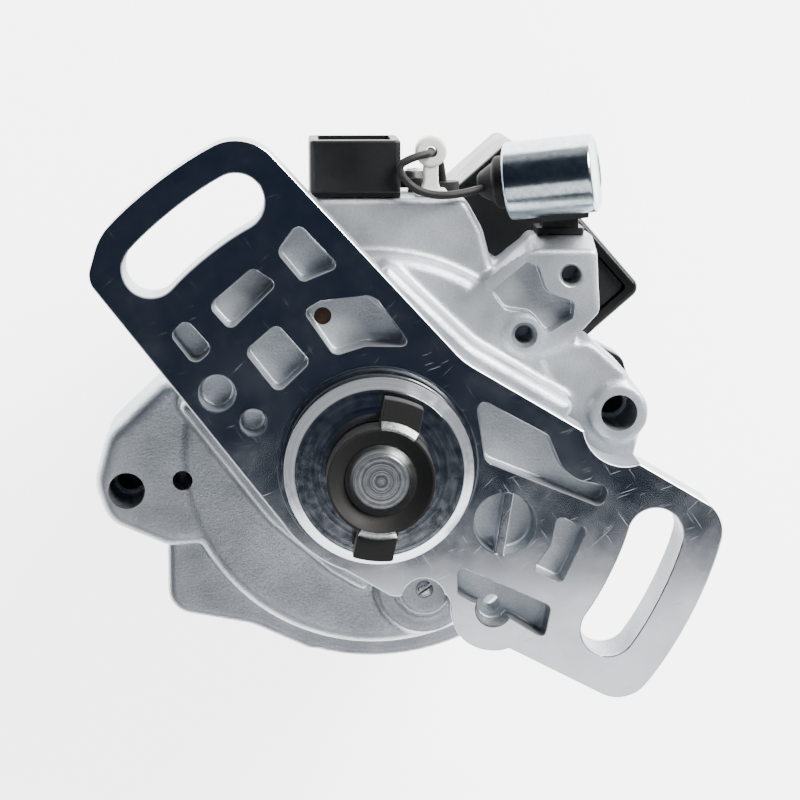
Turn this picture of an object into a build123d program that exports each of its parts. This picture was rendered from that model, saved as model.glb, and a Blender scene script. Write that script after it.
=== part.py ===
"""Ignition distributor with a slotted mounting flange, a driven shaft, pickup, rotor, cap and coil.

Z runs along the shaft towards the drive end and z = 0 is the face that seats on the engine.
X runs to the right and Y up when the drive end faces the viewer.
"""
import os
from math import cos, radians, sin

from build123d import *


def polar(r, angle):
    return r * cos(radians(angle)), r * sin(radians(angle))


# Clearances
RUN = 0.05          # running fit, radial
GAP = 0.3           # parts that must not rub

# Shaft and spigot
SHAFT_R = 6.0
SHAFT_END_Z = 14.3
SPIGOT_R = 16.0
SPIGOT_CHAMFER = 1.8
SPIGOT_END_Z = 6.9
RELIEF_R = SPIGOT_R + 1.0
ORING_R = 1.05
LUG_R = 13.7
LUG_W = 6.6
LUG_SHIFT = 1.3
LUG_TILT = -11.5
ORING_Z = 2.6

# Flange
FLANGE_T = 10.0
FLANGE_R = 60.8
SLOT_W = 10.0
SLOT_LEFT = (50.8, 117.8, 20.6)      # radius, first angle, sweep
SLOT_RIGHT = (49.4, -36.3, 21.4)
POCKET_DEPTH = 4.6
PIN_XY = (8.5, -24.1)
DRILLED_AT = (19.9, -25.4)

# Housing stations along the shaft
PLATEAU_Z = -12.5
RIM_Z = -20.0
PARTING_Z = -34.0
BOWL_R = 35.0
WALL = 3.5
CHAMBER_R = BOWL_R - WALL
CAP_INNER_R = BOWL_R + 0.2
CAP_R = CAP_INNER_R + 3.4
RIM_R = CAP_R + 0.5
BARREL_R = 18.6
BARREL_END_Z = -26.0

# Bearings, two alike
BEARING_R = 14.0
BEARING_W = 8.0
FRONT_BEARING_Z = -5.6
REAR_BEARING_Z = -20.4
BALL_R = 2.2
BALL_PITCH_R = 10.0
BALLS = 8

# Pickup, in the bowl
BASE_PLATE_Z = -25.0
WHEEL_Z = -30.4
WHEEL_R = BOWL_R - 10.0
HUB_R = 8.5
POST_ANGLES = (150, 270, 30)
POST_PITCH_R = CHAMBER_R - 3.5
PLATE_R = CHAMBER_R - 0.5
SENSOR_ANGLE = 210
MODULE_Y = (BARREL_R + 1.4, CHAMBER_R - 3.3)
MODULE_HALF = CHAMBER_R - 17.9
MODULE_SCREW_X = (2 - MODULE_HALF, MODULE_HALF - 2)
MODULE_SCREW_Y = BARREL_R + 4.9

# Cap, rotor and towers
CAP_ROOF_Z = -64.0
CAP_ROOF_T = 4.0
TOWER_PITCH_R = CAP_INNER_R - 11.2
TOWER_R = 7.6
TOWER_END_Z = CAP_ROOF_Z - 16.0
TERMINAL_Z = (CAP_ROOF_Z - 3.0, CAP_ROOF_Z - 10.0)
TOWER_ANGLES = (85, 175, 265, 355)
ELECTRODE_R = CAP_INNER_R - 3.8
ROTOR_SEAT_Z = -38.0
ROTOR_SCREW_Z = -41.1
BLADE_Z = -48.3
BRUSH_R = 2.4
BRUSH_LEN = 9.0
GUIDE_Z = -52.4
CONTACT_Z = -61.6

# Ears that carry the cap
LEFT_ANGLE = 188.7
RIGHT_ANGLE = 8.72
LOBE_ANGLE = 219.053
LEFT_EAR = polar(RIM_R + 4.9, LEFT_ANGLE)
RIGHT_EAR = polar(RIM_R + 4.2, RIGHT_ANGLE)
LOBE_BOSS = polar(RIM_R + 1.85, LOBE_ANGLE)
EAR_Z = PLATEAU_Z - 0.3
EAR_T = 10.0
EAR_HOLE_R = 3.2
CAP_SCREW_R = 2.5

# Connector, condenser and coil on the upper side
LOBE_TOP_Y = RIM_R + 5.2
LOBE_Z = -15.5
CONN_X = (-11.2, 4.6)
CONN_Z = (-29.5, -14.5)
CONN_TOP_Y = LOBE_TOP_Y + 9.9
CONN_SCREW_Z = -27.4
CLIP_X = 10.0
CLIP_Z = -19.0
CLIP_EYE_Y = LOBE_TOP_Y + 7.7
GROMMET_AT = (12.8, LOBE_TOP_Y, -27.4)
BRACKET_TOP_Y = 37.4
BRACKET_HOLES = ((34.1, 30.9), (26.0, 20.5))
BRACKET_HOLE_R = 1.65
CAN_R = 6.8
CAN_LEN = 15.6
CAN_AT = (30.8, BRACKET_TOP_Y + 10.4, -14.5)
CAN_TILT = 7.0
CAN_TURN = 14.0
COND_SCREW = (32.6, -23.3)
LEAD_R = 0.7
COIL_ANGLE = 41.2
COIL_IN = CAP_INNER_R + 1.8
COIL_OUT = 54.4
COIL_WALL = 2.0
COIL_Y = (-13.4, 23.2)               # sides of the case in its own turned frame
COIL_MID = ((COIL_IN + COIL_OUT - COIL_WALL) / 2, sum(COIL_Y) / 2)
COIL_R = (COIL_OUT - COIL_WALL - COIL_IN) / 2 - 1.8
COIL_CORE = COIL_R * 0.68

pieces = {}


def save(name, *solids):
    """Keep one node, given as one solid or as a group of separate solids."""
    pieces[name] = solids[0] if len(solids) == 1 else Compound(children=list(solids))


def outline(*corners):
    """Face through corners given as (x, y, radius)."""
    points = [(x, y) for x, y, _ in corners]
    return make_face(FilletPolyline(*points, radius=[r for _, _, r in corners], close=True))


def prism(face, z0, z1):
    """Solid over a face between two heights."""
    low, high = sorted((z0, z1))
    return extrude(Pos(0, 0, low) * face, amount=high - low)


def disc(x, y, r, z0, z1):
    """Upright cylinder between two heights."""
    return Pos(x, y, (z0 + z1) / 2) * Cylinder(r, abs(z1 - z0))


def ring(r_out, r_in, z0, z1):
    return disc(0, 0, r_out, z0, z1) - disc(0, 0, r_in, z0 - 1, z1 + 1)


def block(x0, x1, y0, y1, z0, z1):
    return Pos((x0 + x1) / 2, (y0 + y1) / 2, (z0 + z1) / 2) * Box(abs(x1 - x0), abs(y1 - y0), abs(z1 - z0))


def turned(*profile):
    """Solid of revolution about the shaft axis from (radius, z) points."""
    face = make_face(Polyline(*[(r, 0, z) for r, z in profile], close=True))
    return revolve(face, Axis.Z)


def arc_slot(radius, start, sweep):
    """Slot face whose centreline is an arc about the shaft axis."""
    return SlotArc(CenterArc((0, 0), radius, start, sweep), height=SLOT_W)


def screw(at, head_r, head_h, shank_r, shank_len, cross=True):
    """Screw with its head above the given plane, pointing down its own Z."""
    head = Pos(0, 0, head_h / 2) * Cylinder(head_r, head_h)
    head = chamfer(head.edges().group_by(Axis.Z)[-1], head_h * 0.25)
    shank = Pos(0, 0, -shank_len / 2) * Cylinder(shank_r, shank_len)
    recess = Pos(0, 0, head_h) * Box(head_r * 1.2, head_r * 0.34, head_h)
    if cross:
        recess += Pos(0, 0, head_h) * Box(head_r * 0.34, head_r * 1.2, head_h)
    return at * (head + shank - recess)


def pocket(face, depth=POCKET_DEPTH):
    """Cutter for a cast pocket: drafted walls and a rounded floor."""
    cutter = extrude(face, amount=-depth, taper=4)
    cutter = fillet(cutter.edges().group_by(Axis.Z)[0], 0.7)
    return cutter + extrude(face, amount=0.5)


# Flange

def flange_face():
    """Two opposed arms about the spigot, cut back around the right ear and the body screw."""
    bar = outline((-48.7, 31.9, 3.5), (-44.3, 47.0, 3), (-24.5, 60.1, 3), (14.7, 17.8, 10),
                  (63.5, -11.2, 3), (66.5, -30.0, 3), (48.5, -45.8, 3), (22.2, -32.2, 2),
                  (15.2, -29.6, 2), (11.8, -22.6, 1), (2.4, -23.0, 2.4), (-6.0, -18.6, 3),
                  (-16.2, -9.8, 6))
    bar = bar & Circle(FLANGE_R)
    for x, y, r in ((-45.9, 39.9, 9), (-21.5, 56.8, 8), (60.1, -9.1, 6), (43.0, -42.9, 6)):
        bar = fillet(bar.vertices().sort_by_distance((x, y))[:1], r)
    bar += Circle(SPIGOT_R + 3.1) + Pos(*DRILLED_AT) * Circle(7.5)
    bar -= Pos(RIGHT_EAR[0] - 0.4, RIGHT_EAR[1] + 0.2) * Circle(7.3)
    bar -= Pos(7.8, -23.6) * Circle(3.7)
    return bar - arc_slot(*SLOT_LEFT) - arc_slot(*SLOT_RIGHT)


def flange_pockets():
    """The lightening pockets cast into the machined face, as one list of cutters."""
    faces = [
        outline((-13.4, 41.7, 1.6), (-6.2, 34.0, 1.2), (-12.7, 31.3, 1.2), (-17.0, 36.5, 1.6)),
        outline((-28.6, 27.6, 1.6), (-21.0, 34.1, 1.4), (-16.7, 31.2, 1.2), (-24.8, 23.2, 1.4)),
        outline((-35.0, 22.7, 1.4), (-32.3, 25.6, 1.6), (-27.6, 20.2, 1.6), (-30.9, 17.3, 1.6)),
        outline((-22.6, 19.8, 1.5), (-17.0, 24.6, 1.4), (-11.2, 17.9, 1.4), (-16.9, 12.4, 1.5)),
        outline((-12.6, 26.5, 1.2), (-9.8, 28.3, 1.6), (-0.6, 29.3, 2.6), (6.0, 20.3, 1.2),
                (-2.0, 20.5, 3), (-7.4, 18.8, 1.6)),
        outline((16.4, 12.0, 1.6), (29.2, 5.0, 2), (32.2, -2.4, 6), (39.8, -4.0, 1.5),
                (38.6, -7.9, 1.6), (18.2, 0.4, 2)),
        outline((30.6, -8.8, 1.2), (36.2, -11.4, 1.2), (31.6, -21.2, 1.2), (26.4, -18.6, 1),
                (29.6, -14.2, 3)),
        outline((13.6, -17.5, 1.2), (30.0, -24.9, 1.4), (28.8, -31.0, 1.2), (23.0, -27.4, 1),
                (16.0, -24.2, 1), (13.6, -22.8, 1)),
        Pos(*DRILLED_AT) * Circle(3.1),
        Pos(-27.2, 12.6) * Circle(3.15),
        Pos(-21.1, 7.6) * Circle(2.3),
        Pos(21.7, -10.4) * Circle(5.4),
    ]
    return [pocket(f) for f in faces]


# Bowl, rim, ears and the castings on it

def on_rim(angle, *corners):
    """Face from corners measured out from the rim and across, at one angle round the axis."""
    return Pos(*polar(RIM_R, angle)) * Rot(0, 0, angle) * outline(*corners)


def ear_faces():
    """The two ears that take the cap screws, level with the plateau."""
    left = on_rim(LEFT_ANGLE, (-11.78, -18.45, 2), (-4.35, -18.17, 2), (6.76, -10.36, 5),
                  (10.48, -1.92, 6), (9.04, 5.18, 5), (-0.65, 11.31, 4), (-9.14, 12.01, 2))
    right = on_rim(RIGHT_ANGLE, (-9.24, 14.64, 1), (1.27, 13.23, 3), (7.0, 6.38, 4),
                   (8.26, -1.9, 6), (5.03, -10.41, 5), (-5.9, -15.72, 3), (-13.4, -12.54, 1))
    return left + right


def lobe_face():
    """Lower lobe round the third cap screw."""
    return on_rim(LOBE_ANGLE, (-8.24, -9.58, 2), (0.27, -10.05, 2), (8.58, 0.2, 4.5),
                  (-1.22, 11.77, 6), (-8.06, 25.56, 3), (-15.25, 16.7, 2))


def bowl_outside():
    """Plateau disc, rounded step and rim, with the ears and the lobe standing on the rim."""
    body = turned((0, PLATEAU_Z), (BOWL_R - 1.6, PLATEAU_Z), (BOWL_R, PLATEAU_Z - 1.6),
                  (BOWL_R, RIM_Z), (RIM_R - 0.8, RIM_Z), (RIM_R, RIM_Z - 0.8),
                  (RIM_R, PARTING_Z), (0, PARTING_Z))
    ears = prism(ear_faces(), EAR_Z, RIM_Z - EAR_T)
    body += fillet(ears.edges().group_by(Axis.Z)[-1], 0.8)
    lobe = prism(lobe_face(), RIM_Z, PARTING_Z)
    body += fillet(lobe.edges().group_by(Axis.Z)[-1], 0.8)
    for x, y in (LEFT_EAR, RIGHT_EAR):
        body += disc(x, y, 5.4, RIM_Z - 1, PARTING_Z)
    neck = flange_face() & (Circle(BOWL_R - 1.0) + ear_faces())
    return body + prism(neck, -1, PLATEAU_Z - 1)


def connector_lobe():
    """Walled chamber over the bowl that carries the connector on its top face."""
    face = outline((-10.6, 20.0, 1), (-10.6, LOBE_TOP_Y, 1.2), (15.8, LOBE_TOP_Y, 2.5),
                   (19.0, 38.5, 6), (20.8, 31.5, 2), (14.0, 20.0, 1))
    lobe = prism(face, LOBE_Z, PARTING_Z)
    return fillet(lobe.edges().group_by(Axis.Z)[-1], 0.9)


def bracket_web():
    """Triangular cast web for the condenser, pocketed, with two tapped bosses."""
    face = outline((15.0, 27.0, 1), (26.6, 36.2, 2), (27.4, BRACKET_TOP_Y, 0.8),
                   (38.6, BRACKET_TOP_Y, 0.8), (39.2, 24.4, 1.6), (34.4, 19.2, 2), (22.0, 14.0, 1))
    web = prism(face, PLATEAU_Z + 0.3, PLATEAU_Z - 14.5)
    web = fillet(web.edges().group_by(Axis.Z)[-1], 0.5)
    hollow = outline((20.2, 28.2, 0.8), (26.4, 33.4, 0.9), (28.4, 32.6, 0.8), (30.0, 28.0, 2),
                     (34.8, 26.2, 0.8), (34.6, 23.4, 1.0), (30.0, 20.7, 1.0), (27.2, 24.2, 2.4),
                     (22.6, 24.9, 2))
    web -= Pos(0, 0, PLATEAU_Z + 0.3) * pocket(hollow, 3.4)
    return web


def bowl_inside():
    """Chamber around the bearing barrel, and the throat up into the connector lobe."""
    chamber = turned((BARREL_R, PLATEAU_Z - WALL), (CHAMBER_R - 1.5, PLATEAU_Z - WALL),
                     (CHAMBER_R, PLATEAU_Z - WALL - 1.5), (CHAMBER_R, RIM_Z - 3.0),
                     (CAP_INNER_R, RIM_Z - 6.0), (CAP_INNER_R, PARTING_Z - 1),
                     (0, PARTING_Z - 1), (0, BARREL_END_Z), (BARREL_R, BARREL_END_Z))
    throat = outline((-7.6, 24.0, 1), (-7.6, LOBE_TOP_Y - 3.0, 1), (14.0, LOBE_TOP_Y - 3.0, 1.5),
                     (17.2, 31.0, 2), (13.0, 24.0, 1))
    return chamber + prism(throat, LOBE_Z - 3.0, PARTING_Z - 1)


def barrel_bore():
    """Stepped bore: shaft throat, seal seat, then one long bearing bore open at the rear."""
    bore = disc(0, 0, SHAFT_R + 1.0, 0, SPIGOT_END_Z + 1)
    bore += disc(0, 0, 11.0, -2.0, 4.5)
    return bore + disc(0, 0, BEARING_R, FRONT_BEARING_Z + BEARING_W / 2, BARREL_END_Z - 1)


def plate_posts():
    """Posts inside the bowl that carry the pickup base plate."""
    posts = []
    for angle in POST_ANGLES:
        x, y = polar(POST_PITCH_R, angle)
        posts.append(disc(x, y, 3.2, PLATEAU_Z - 2, BASE_PLATE_Z + 1.2))
    return posts


def spigot():
    """Register that enters the engine, with the seal groove and a relief at its root."""
    body = turned((0, -1), (SPIGOT_R, -1), (SPIGOT_R, SPIGOT_END_Z - 1.7),
                  (SPIGOT_R - SPIGOT_CHAMFER, SPIGOT_END_Z), (0, SPIGOT_END_Z))
    groove = ring(SPIGOT_R + 1, SPIGOT_R - 2.05, ORING_Z - 1.25, ORING_Z + 1.25)
    return body - groove


def housing():
    body = prism(flange_face(), 0, -FLANGE_T)
    for cutter in flange_pockets():
        body -= cutter
    body += prism(bar_rib(), -0.2, -POCKET_DEPTH - 0.5)
    body -= ring(RELIEF_R, SPIGOT_R, -0.8, 1)
    body += spigot() + bowl_outside() + connector_lobe() + bracket_web()
    body += disc(*PIN_XY, 8.5, PLATEAU_Z - 1, PLATEAU_Z + 1.2) - prism(flange_face(), 1, -FLANGE_T)
    body += disc(*PIN_XY, 4.8, PLATEAU_Z, -9.6)
    body = body - bowl_inside()
    body += ring(BARREL_R, BEARING_R, PLATEAU_Z - 2, BARREL_END_Z)
    for post in plate_posts():
        body += post
    body += disc(*LOBE_BOSS, 4.6, RIM_Z - 1, PARTING_Z)
    body += disc(*BRACKET_HOLES[1], 3.6, PLATEAU_Z - 1, PLATEAU_Z - 10)
    body -= barrel_bore()
    return body - housing_holes()


def bar_rib():
    """Bar left standing across the round pocket."""
    return Pos(21.7, -10.4) * Rot(0, 0, -9) * Rectangle(1.7, 11.6)


def housing_holes():
    """Drillings: cap ears, tapped holes, gallery plug, body screw and the small vent."""
    holes = []
    for x, y in (LEFT_EAR, RIGHT_EAR):
        holes.append(disc(x, y, EAR_HOLE_R, EAR_Z + 1, RIM_Z - 6))
        holes.append(disc(x, y, CAP_SCREW_R, RIM_Z, PARTING_Z - 1))
    holes.append(disc(*LOBE_BOSS, CAP_SCREW_R, RIM_Z - 4, PARTING_Z - 1))
    holes.append(disc(-33.7, -4.9, 1.75, PLATEAU_Z + 1, RIM_Z - 5))
    holes.append(disc(*PIN_XY, 1.5, -9, -15.5))
    holes.append(disc(*DRILLED_AT, 1.5, 0, -FLANGE_T - 1))
    holes.append(disc(-9.2, 25.1, 1.5, 0, -9.6))
    for x, y in BRACKET_HOLES:
        holes.append(disc(x, y, BRACKET_HOLE_R, PLATEAU_Z + 1, PLATEAU_Z - 9))
        holes.append(Pos(x, y, PLATEAU_Z + 0.05) * Cone(BRACKET_HOLE_R, BRACKET_HOLE_R + 0.5, 0.5))
    for x, y in retainer_screws_at():
        holes.append(disc(x, y, 1.25, BARREL_END_Z - 1, BARREL_END_Z + 6))
    for angle in POST_ANGLES:
        x, y = polar(POST_PITCH_R, angle)
        holes.append(disc(x, y, 1.25, BASE_PLATE_Z, BASE_PLATE_Z + 8))
    holes.append(Pos(CONN_X[1] + 3.0, LOBE_TOP_Y, CONN_SCREW_Z) * Rot(90, 0, 0) * Cylinder(1.25, 8))
    holes.append(block(-9.0, 2.4, LOBE_TOP_Y - 5, LOBE_TOP_Y + 1, -27.0, -17.6))
    holes.append(Pos(COND_SCREW[0], BRACKET_TOP_Y - 3, COND_SCREW[1]) * Rot(90, 0, 0) * Cylinder(1.65, 9))
    for x in MODULE_SCREW_X:
        holes.append(disc(x, MODULE_SCREW_Y, 1.0, PLATEAU_Z - WALL - 1, PLATEAU_Z - 1.1))
    holes.append(Pos(CLIP_X, LOBE_TOP_Y, CLIP_Z) * Rot(90, 0, 0) * Cylinder(1.3, 12))
    holes.append(Pos(*GROMMET_AT) * Rot(90, 0, 0) * Cylinder(1.9, 12))
    return holes


def retainer_screws_at():
    return [polar(16.3, a) for a in (90, 210, 330)]


# Pieces fixed to the housing

def o_ring():
    return Pos(0, 0, ORING_Z) * Torus(SPIGOT_R + 0.08 - ORING_R, ORING_R)


def oil_seal():
    """Lip seal: outer case with a lip that runs on the shaft."""
    return turned((11.0, -1.0), (11.0, 4.2), (10.4, 4.5), (8.2, 4.5), (8.2, 3.4), (10.0, 3.4),
                  (10.0, 0.2), (8.4, 0.6), (SHAFT_R + RUN, 2.2), (SHAFT_R + RUN, 1.6),
                  (7.4, -1.0))


def outer_race(z):
    half = BEARING_W / 2
    race = ring(BEARING_R, 11.6, z - half, z + half)
    race = chamfer(race.edges().filter_by(GeomType.CIRCLE).sort_by(SortBy.RADIUS)[-2:], 0.4)
    return race - Pos(0, 0, z) * Torus(BALL_PITCH_R, BALL_R + RUN)


def inner_race(z):
    half = BEARING_W / 2
    race = ring(8.4, SHAFT_R, z - half, z + half)
    return race - Pos(0, 0, z) * Torus(BALL_PITCH_R, BALL_R + RUN)


def ball_set(z):
    return [Pos(*polar(BALL_PITCH_R, a), z) * Sphere(BALL_R)
            for a in (i * 360 / BALLS for i in range(BALLS))]


def cage(z):
    """Ring with a window for each ball."""
    body = ring(10.8, 9.2, z - 2.9, z + 2.9)
    window = Pos(BALL_PITCH_R, 0, z) * Rot(0, 90, 0) * Cylinder(BALL_R + RUN, 4)
    for i in range(BALLS):
        body -= Rot(0, 0, i * 360 / BALLS) * window
    return body


def spacer_tube():
    front = FRONT_BEARING_Z - BEARING_W / 2
    rear = REAR_BEARING_Z + BEARING_W / 2
    return ring(BEARING_R, 12.2, rear, front)


def bearing_retainer():
    """Plate with three lobes that closes the bearing bore."""
    plate = ring(17.0, 11.9, BARREL_END_Z - 1.5, BARREL_END_Z)
    for x, y in retainer_screws_at():
        plate += disc(x, y, 2.9, BARREL_END_Z - 1.5, BARREL_END_Z) - disc(0, 0, 11.9, -40, 0)
    for x, y in retainer_screws_at():
        plate -= disc(x, y, 1.25, BARREL_END_Z - 2, BARREL_END_Z + 1)
    rear = REAR_BEARING_Z - BEARING_W / 2
    return plate + ring(BEARING_R - GAP, 11.9, BARREL_END_Z, rear)


def rear_facing(x, y, z):
    """Place for a screw whose head faces the cap."""
    return Pos(x, y, z) * Rot(180, 0, 0)


def pickup_base():
    """Sector plate on the three posts, with a foot for the sensor."""
    top = BASE_PLATE_Z + 1.2
    plate = ring(PLATE_R, BARREL_R + 1.6, top - 1.5, top)
    plate -= block(-PLATE_R, PLATE_R, BARREL_R + 2.9, PLATE_R, top - 3, top + 1)
    for angle in POST_ANGLES:
        x, y = polar(POST_PITCH_R, angle)
        plate -= disc(x, y, 1.25, top - 3, top + 1)
    for y in (-8.8, 8.8):
        plate -= Rot(0, 0, SENSOR_ANGLE) * disc(WHEEL_R + 0.6, y, 1.0, top - 3, top + 1)
    return plate


def pickup_sensor():
    """Forked sensor that straddles the rim of the trigger wheel."""
    top = BASE_PLATE_Z - 0.3
    body = block(WHEEL_R - 5.2, PLATE_R, -6.5, 6.5, PARTING_Z + 0.1, top)
    body = chamfer(body.edges().filter_by(Axis.Z), 1.2)
    body += block(WHEEL_R - 2.2, WHEEL_R + 3.4, -10.8, 10.8, top - 1.6, top)
    body -= block(WHEEL_R - 10, WHEEL_R + 1.4, -8, 8, WHEEL_Z - 1.4, WHEEL_Z + 1.4)
    for y in (-8.8, 8.8):
        body -= disc(WHEEL_R + 0.6, y, 1.0, -40, 0)
    return Rot(0, 0, SENSOR_ANGLE) * body


def ignition_module():
    """Flat moulded power module on the bowl floor beside the barrel."""
    floor = PLATEAU_Z - WALL
    body = block(4.2 - MODULE_HALF, MODULE_HALF - 4.2, *MODULE_Y, floor - 6.0, floor)
    body = chamfer(body.edges().group_by(Axis.Z)[0], 0.8)
    body += block(-MODULE_HALF, MODULE_HALF, MODULE_SCREW_Y - 2, MODULE_SCREW_Y + 2, floor - 1.8, floor)
    for x in MODULE_SCREW_X:
        body -= disc(x, MODULE_SCREW_Y, 1.0, -40, 0)
    return body


def dust_shield():
    """Thin dished cover between the pickup and the rotor."""
    z = PARTING_Z - 0.3
    body = ring(CAP_INNER_R - GAP, 10.2, z - 1.2, z)
    body += ring(12.4, 10.2, z - 2.4, z)
    for i in range(6):
        body += Rot(0, 0, i * 60 + 15) * block(16.0, CAP_INNER_R - 3.2, -0.8, 0.8, z - 2.1, z - 0.9)
    return body


def cap_gasket():
    return ring(CAP_R - 0.6, CAP_INNER_R + 1.0, PARTING_Z - 1.0, PARTING_Z)


# Cap and coil

def coil_frame(solid):
    """Turn a solid drawn along +X into the direction of the coil case."""
    return Rot(0, 0, COIL_ANGLE) * solid


def cap_shell():
    body = turned((0, PARTING_Z), (CAP_R, PARTING_Z), (CAP_R, CAP_ROOF_Z + 9.0),
                  (CAP_R - 2.6, CAP_ROOF_Z + 2.0), (CAP_R - 5.2, CAP_ROOF_Z), (0, CAP_ROOF_Z))
    hollow = disc(0, 0, CAP_INNER_R, PARTING_Z - 1.5, CAP_ROOF_Z + CAP_ROOF_T)
    hollow += disc(0, 0, CAP_INNER_R, PARTING_Z + 1, PARTING_Z - 3)
    return body, hollow


def distributor_cap():
    """Moulded cap: dome, coil case, ears, four ribbed towers and the brush guide."""
    body, hollow = cap_shell()
    case = block(CAP_R - 14.6, COIL_OUT, *COIL_Y, CAP_ROOF_Z, PARTING_Z - 0.4)
    case = fillet(case.edges().filter_by(Axis.Z).sort_by(Axis.X)[-2:], 2.0)
    case = chamfer(case.faces().sort_by(Axis.Z)[-1].edges().sort_by(Axis.X)[-1:], 1.2)
    body += coil_frame(case)
    for face in cap_ear_faces():
        body += prism(face, PARTING_Z, PARTING_Z - 7.0)
    body += prism(lobe_cover_face(), PARTING_Z, PARTING_Z - 2.6)
    for angle in TOWER_ANGLES:
        body += cap_tower(angle)
    for i in range(12):
        angle = 10 + i * 30
        if not 0 < angle % 360 < 80:
            body += Rot(0, 0, angle) * block(CAP_R - 2.0, CAP_R + 0.8, -0.9, 0.9, -56.0, PARTING_Z - 7.0)
    body = body - hollow
    body += disc(0, 0, 5.0, GUIDE_Z, CAP_ROOF_Z + 1)
    for angle in TOWER_ANGLES:
        body += Rot(0, 0, angle) * block(ELECTRODE_R + 0.8, CAP_INNER_R + 1, -4.2, 4.2, -60.5, -45.0)
    return body - cap_cuts()


def cap_ear_faces():
    """Ears of the cap behind those of the housing."""
    left = on_rim(LEFT_ANGLE, (-9.0, -13.8, 1), (-1.6, -14.2, 1), (0.3, -13.0, 0.8), (1.2, -9.9, 0.6),
                  (8.7, -4.5, 4), (11.6, 1.6, 5), (10.3, 8.3, 4), (1.5, 14.4, 3), (-9.0, 12.0, 1))
    right = on_rim(RIGHT_ANGLE, (-9.0, 9.2, 1), (4.5, 9.1, 2.5), (8.6, 6.0, 3), (9.4, 0.0, 4),
                   (9.0, -5.0, 4), (6.0, -10.9, 4), (-6.0, -13.0, 2))
    lobe = on_rim(LOBE_ANGLE, (-8.24, -9.58, 2), (0.11, -9.92, 2), (8.3, 0.17, 4.5),
                  (-1.35, 11.61, 4), (-10.59, 12.92, 2))
    return left, right, lobe


def lobe_cover_face():
    """Part of the cap's rim that closes the connector lobe."""
    return outline((-10.4, 24.0, 1), (-10.4, LOBE_TOP_Y - 0.2, 1.2), (15.6, LOBE_TOP_Y - 0.2, 2.5),
                   (18.8, 38.4, 6), (20.5, 31.5, 2), (14.0, 24.0, 1))


def cap_tower(angle):
    """Tapered socket tower with a collar at its root."""
    x, y = polar(TOWER_PITCH_R, angle)
    mid = (TOWER_END_Z + CAP_ROOF_Z) / 2
    tower = Pos(x, y, mid + 1) * Cone(TOWER_R - 0.6, TOWER_R, CAP_ROOF_Z - TOWER_END_Z + 2)
    tower = chamfer(tower.edges().group_by(Axis.Z)[0], 0.8)
    return tower + disc(x, y, TOWER_R + 0.9, CAP_ROOF_Z - 2.2, CAP_ROOF_Z + 1)


def cap_cuts():
    """Sockets, electrode seats, coil cavity, brush bore, screw holes and the gasket groove."""
    cuts = [ring(CAP_R - 0.6, CAP_INNER_R + 1.0, PARTING_Z - 1.0, PARTING_Z + 1)]
    for angle in TOWER_ANGLES:
        x, y = polar(TOWER_PITCH_R, angle)
        cuts.append(disc(x, y, 4.6, TOWER_END_Z - 3, TERMINAL_Z[1] - 0.4))
        cuts.append(disc(x, y, 3.2, TERMINAL_Z[1] - 1, TERMINAL_Z[0]))
        cuts.append(electrode(angle))
    cuts.append(coil_frame(coil_room(0, PARTING_Z + 1)))
    cuts.append(disc(0, 0, BRUSH_R + RUN, GUIDE_Z + 1, CONTACT_Z))
    cuts.append(centre_contact())
    cuts.append(disc(*LOBE_BOSS, 4.6, PARTING_Z - 7, PARTING_Z - 13))
    for x, y in (LEFT_EAR, RIGHT_EAR, LOBE_BOSS):
        cuts.append(disc(x, y, CAP_SCREW_R, PARTING_Z + 1, PARTING_Z - 12))
    return cuts


def electrode(angle):
    """Electrode bar in the cap with the stem that rises into its tower."""
    bar = block(ELECTRODE_R, ELECTRODE_R + 2.4, -3.0, 3.0, -62.0, -46.0)
    link = block(TOWER_PITCH_R - 2.0, ELECTRODE_R + 2.4, -1.6, 1.6, -62.0, -60.2)
    stem = disc(TOWER_PITCH_R, 0, 2.0, TERMINAL_Z[0], -60.2)
    return Rot(0, 0, angle) * (bar + link + stem)


def tower_terminal(angle):
    """Plug terminal at the bottom of a tower."""
    x, y = polar(TOWER_PITCH_R, angle)
    body = disc(x, y, 3.2, *TERMINAL_Z)
    body = chamfer(body.edges().group_by(Axis.Z)[0], 0.6)
    return body - disc(x, y, 1.6, TERMINAL_Z[0] - 3.0, TERMINAL_Z[1] - 2)


def centre_contact():
    """Strip in the roof from the coil output to the brush spring."""
    strip = block(-2.4, COIL_IN + 2.0, -1.6, 1.6, CONTACT_Z - 1.0, CONTACT_Z)
    return coil_frame(strip)


def coil_room(inset, top):
    """Space in the coil case, or the block that fills it when inset."""
    wall = COIL_WALL + inset
    return block(COIL_IN + inset, COIL_OUT - wall, COIL_Y[0] + wall, COIL_Y[1] - wall, CONTACT_Z, top)


def coil_body():
    """Potted coil block that fills the case, with room for its winding."""
    body = coil_room(GAP, PARTING_Z - 1.6)
    body = chamfer(body.edges().filter_by(Axis.Z), 0.6)
    body -= Pos(*COIL_MID, PARTING_Z - 14.5) * Cylinder(COIL_R + GAP, 21.0)
    return coil_frame(body)


def coil_winding():
    winding = Cylinder(COIL_R, 21.0) - Cylinder(COIL_CORE * 0.8, 22.0)
    return coil_frame(Pos(*COIL_MID, PARTING_Z - 14.5) * winding)


def coil_core():
    return coil_frame(Pos(*COIL_MID, PARTING_Z - 14.5) * Box(COIL_CORE, COIL_CORE, 21.0))


def cap_screw(at, drop):
    x, y = at
    return screw(rear_facing(x, y, PARTING_Z - 7.0), 4.2, 3.2, CAP_SCREW_R, 7.0 + drop)


# Connector, condenser and lead

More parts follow.
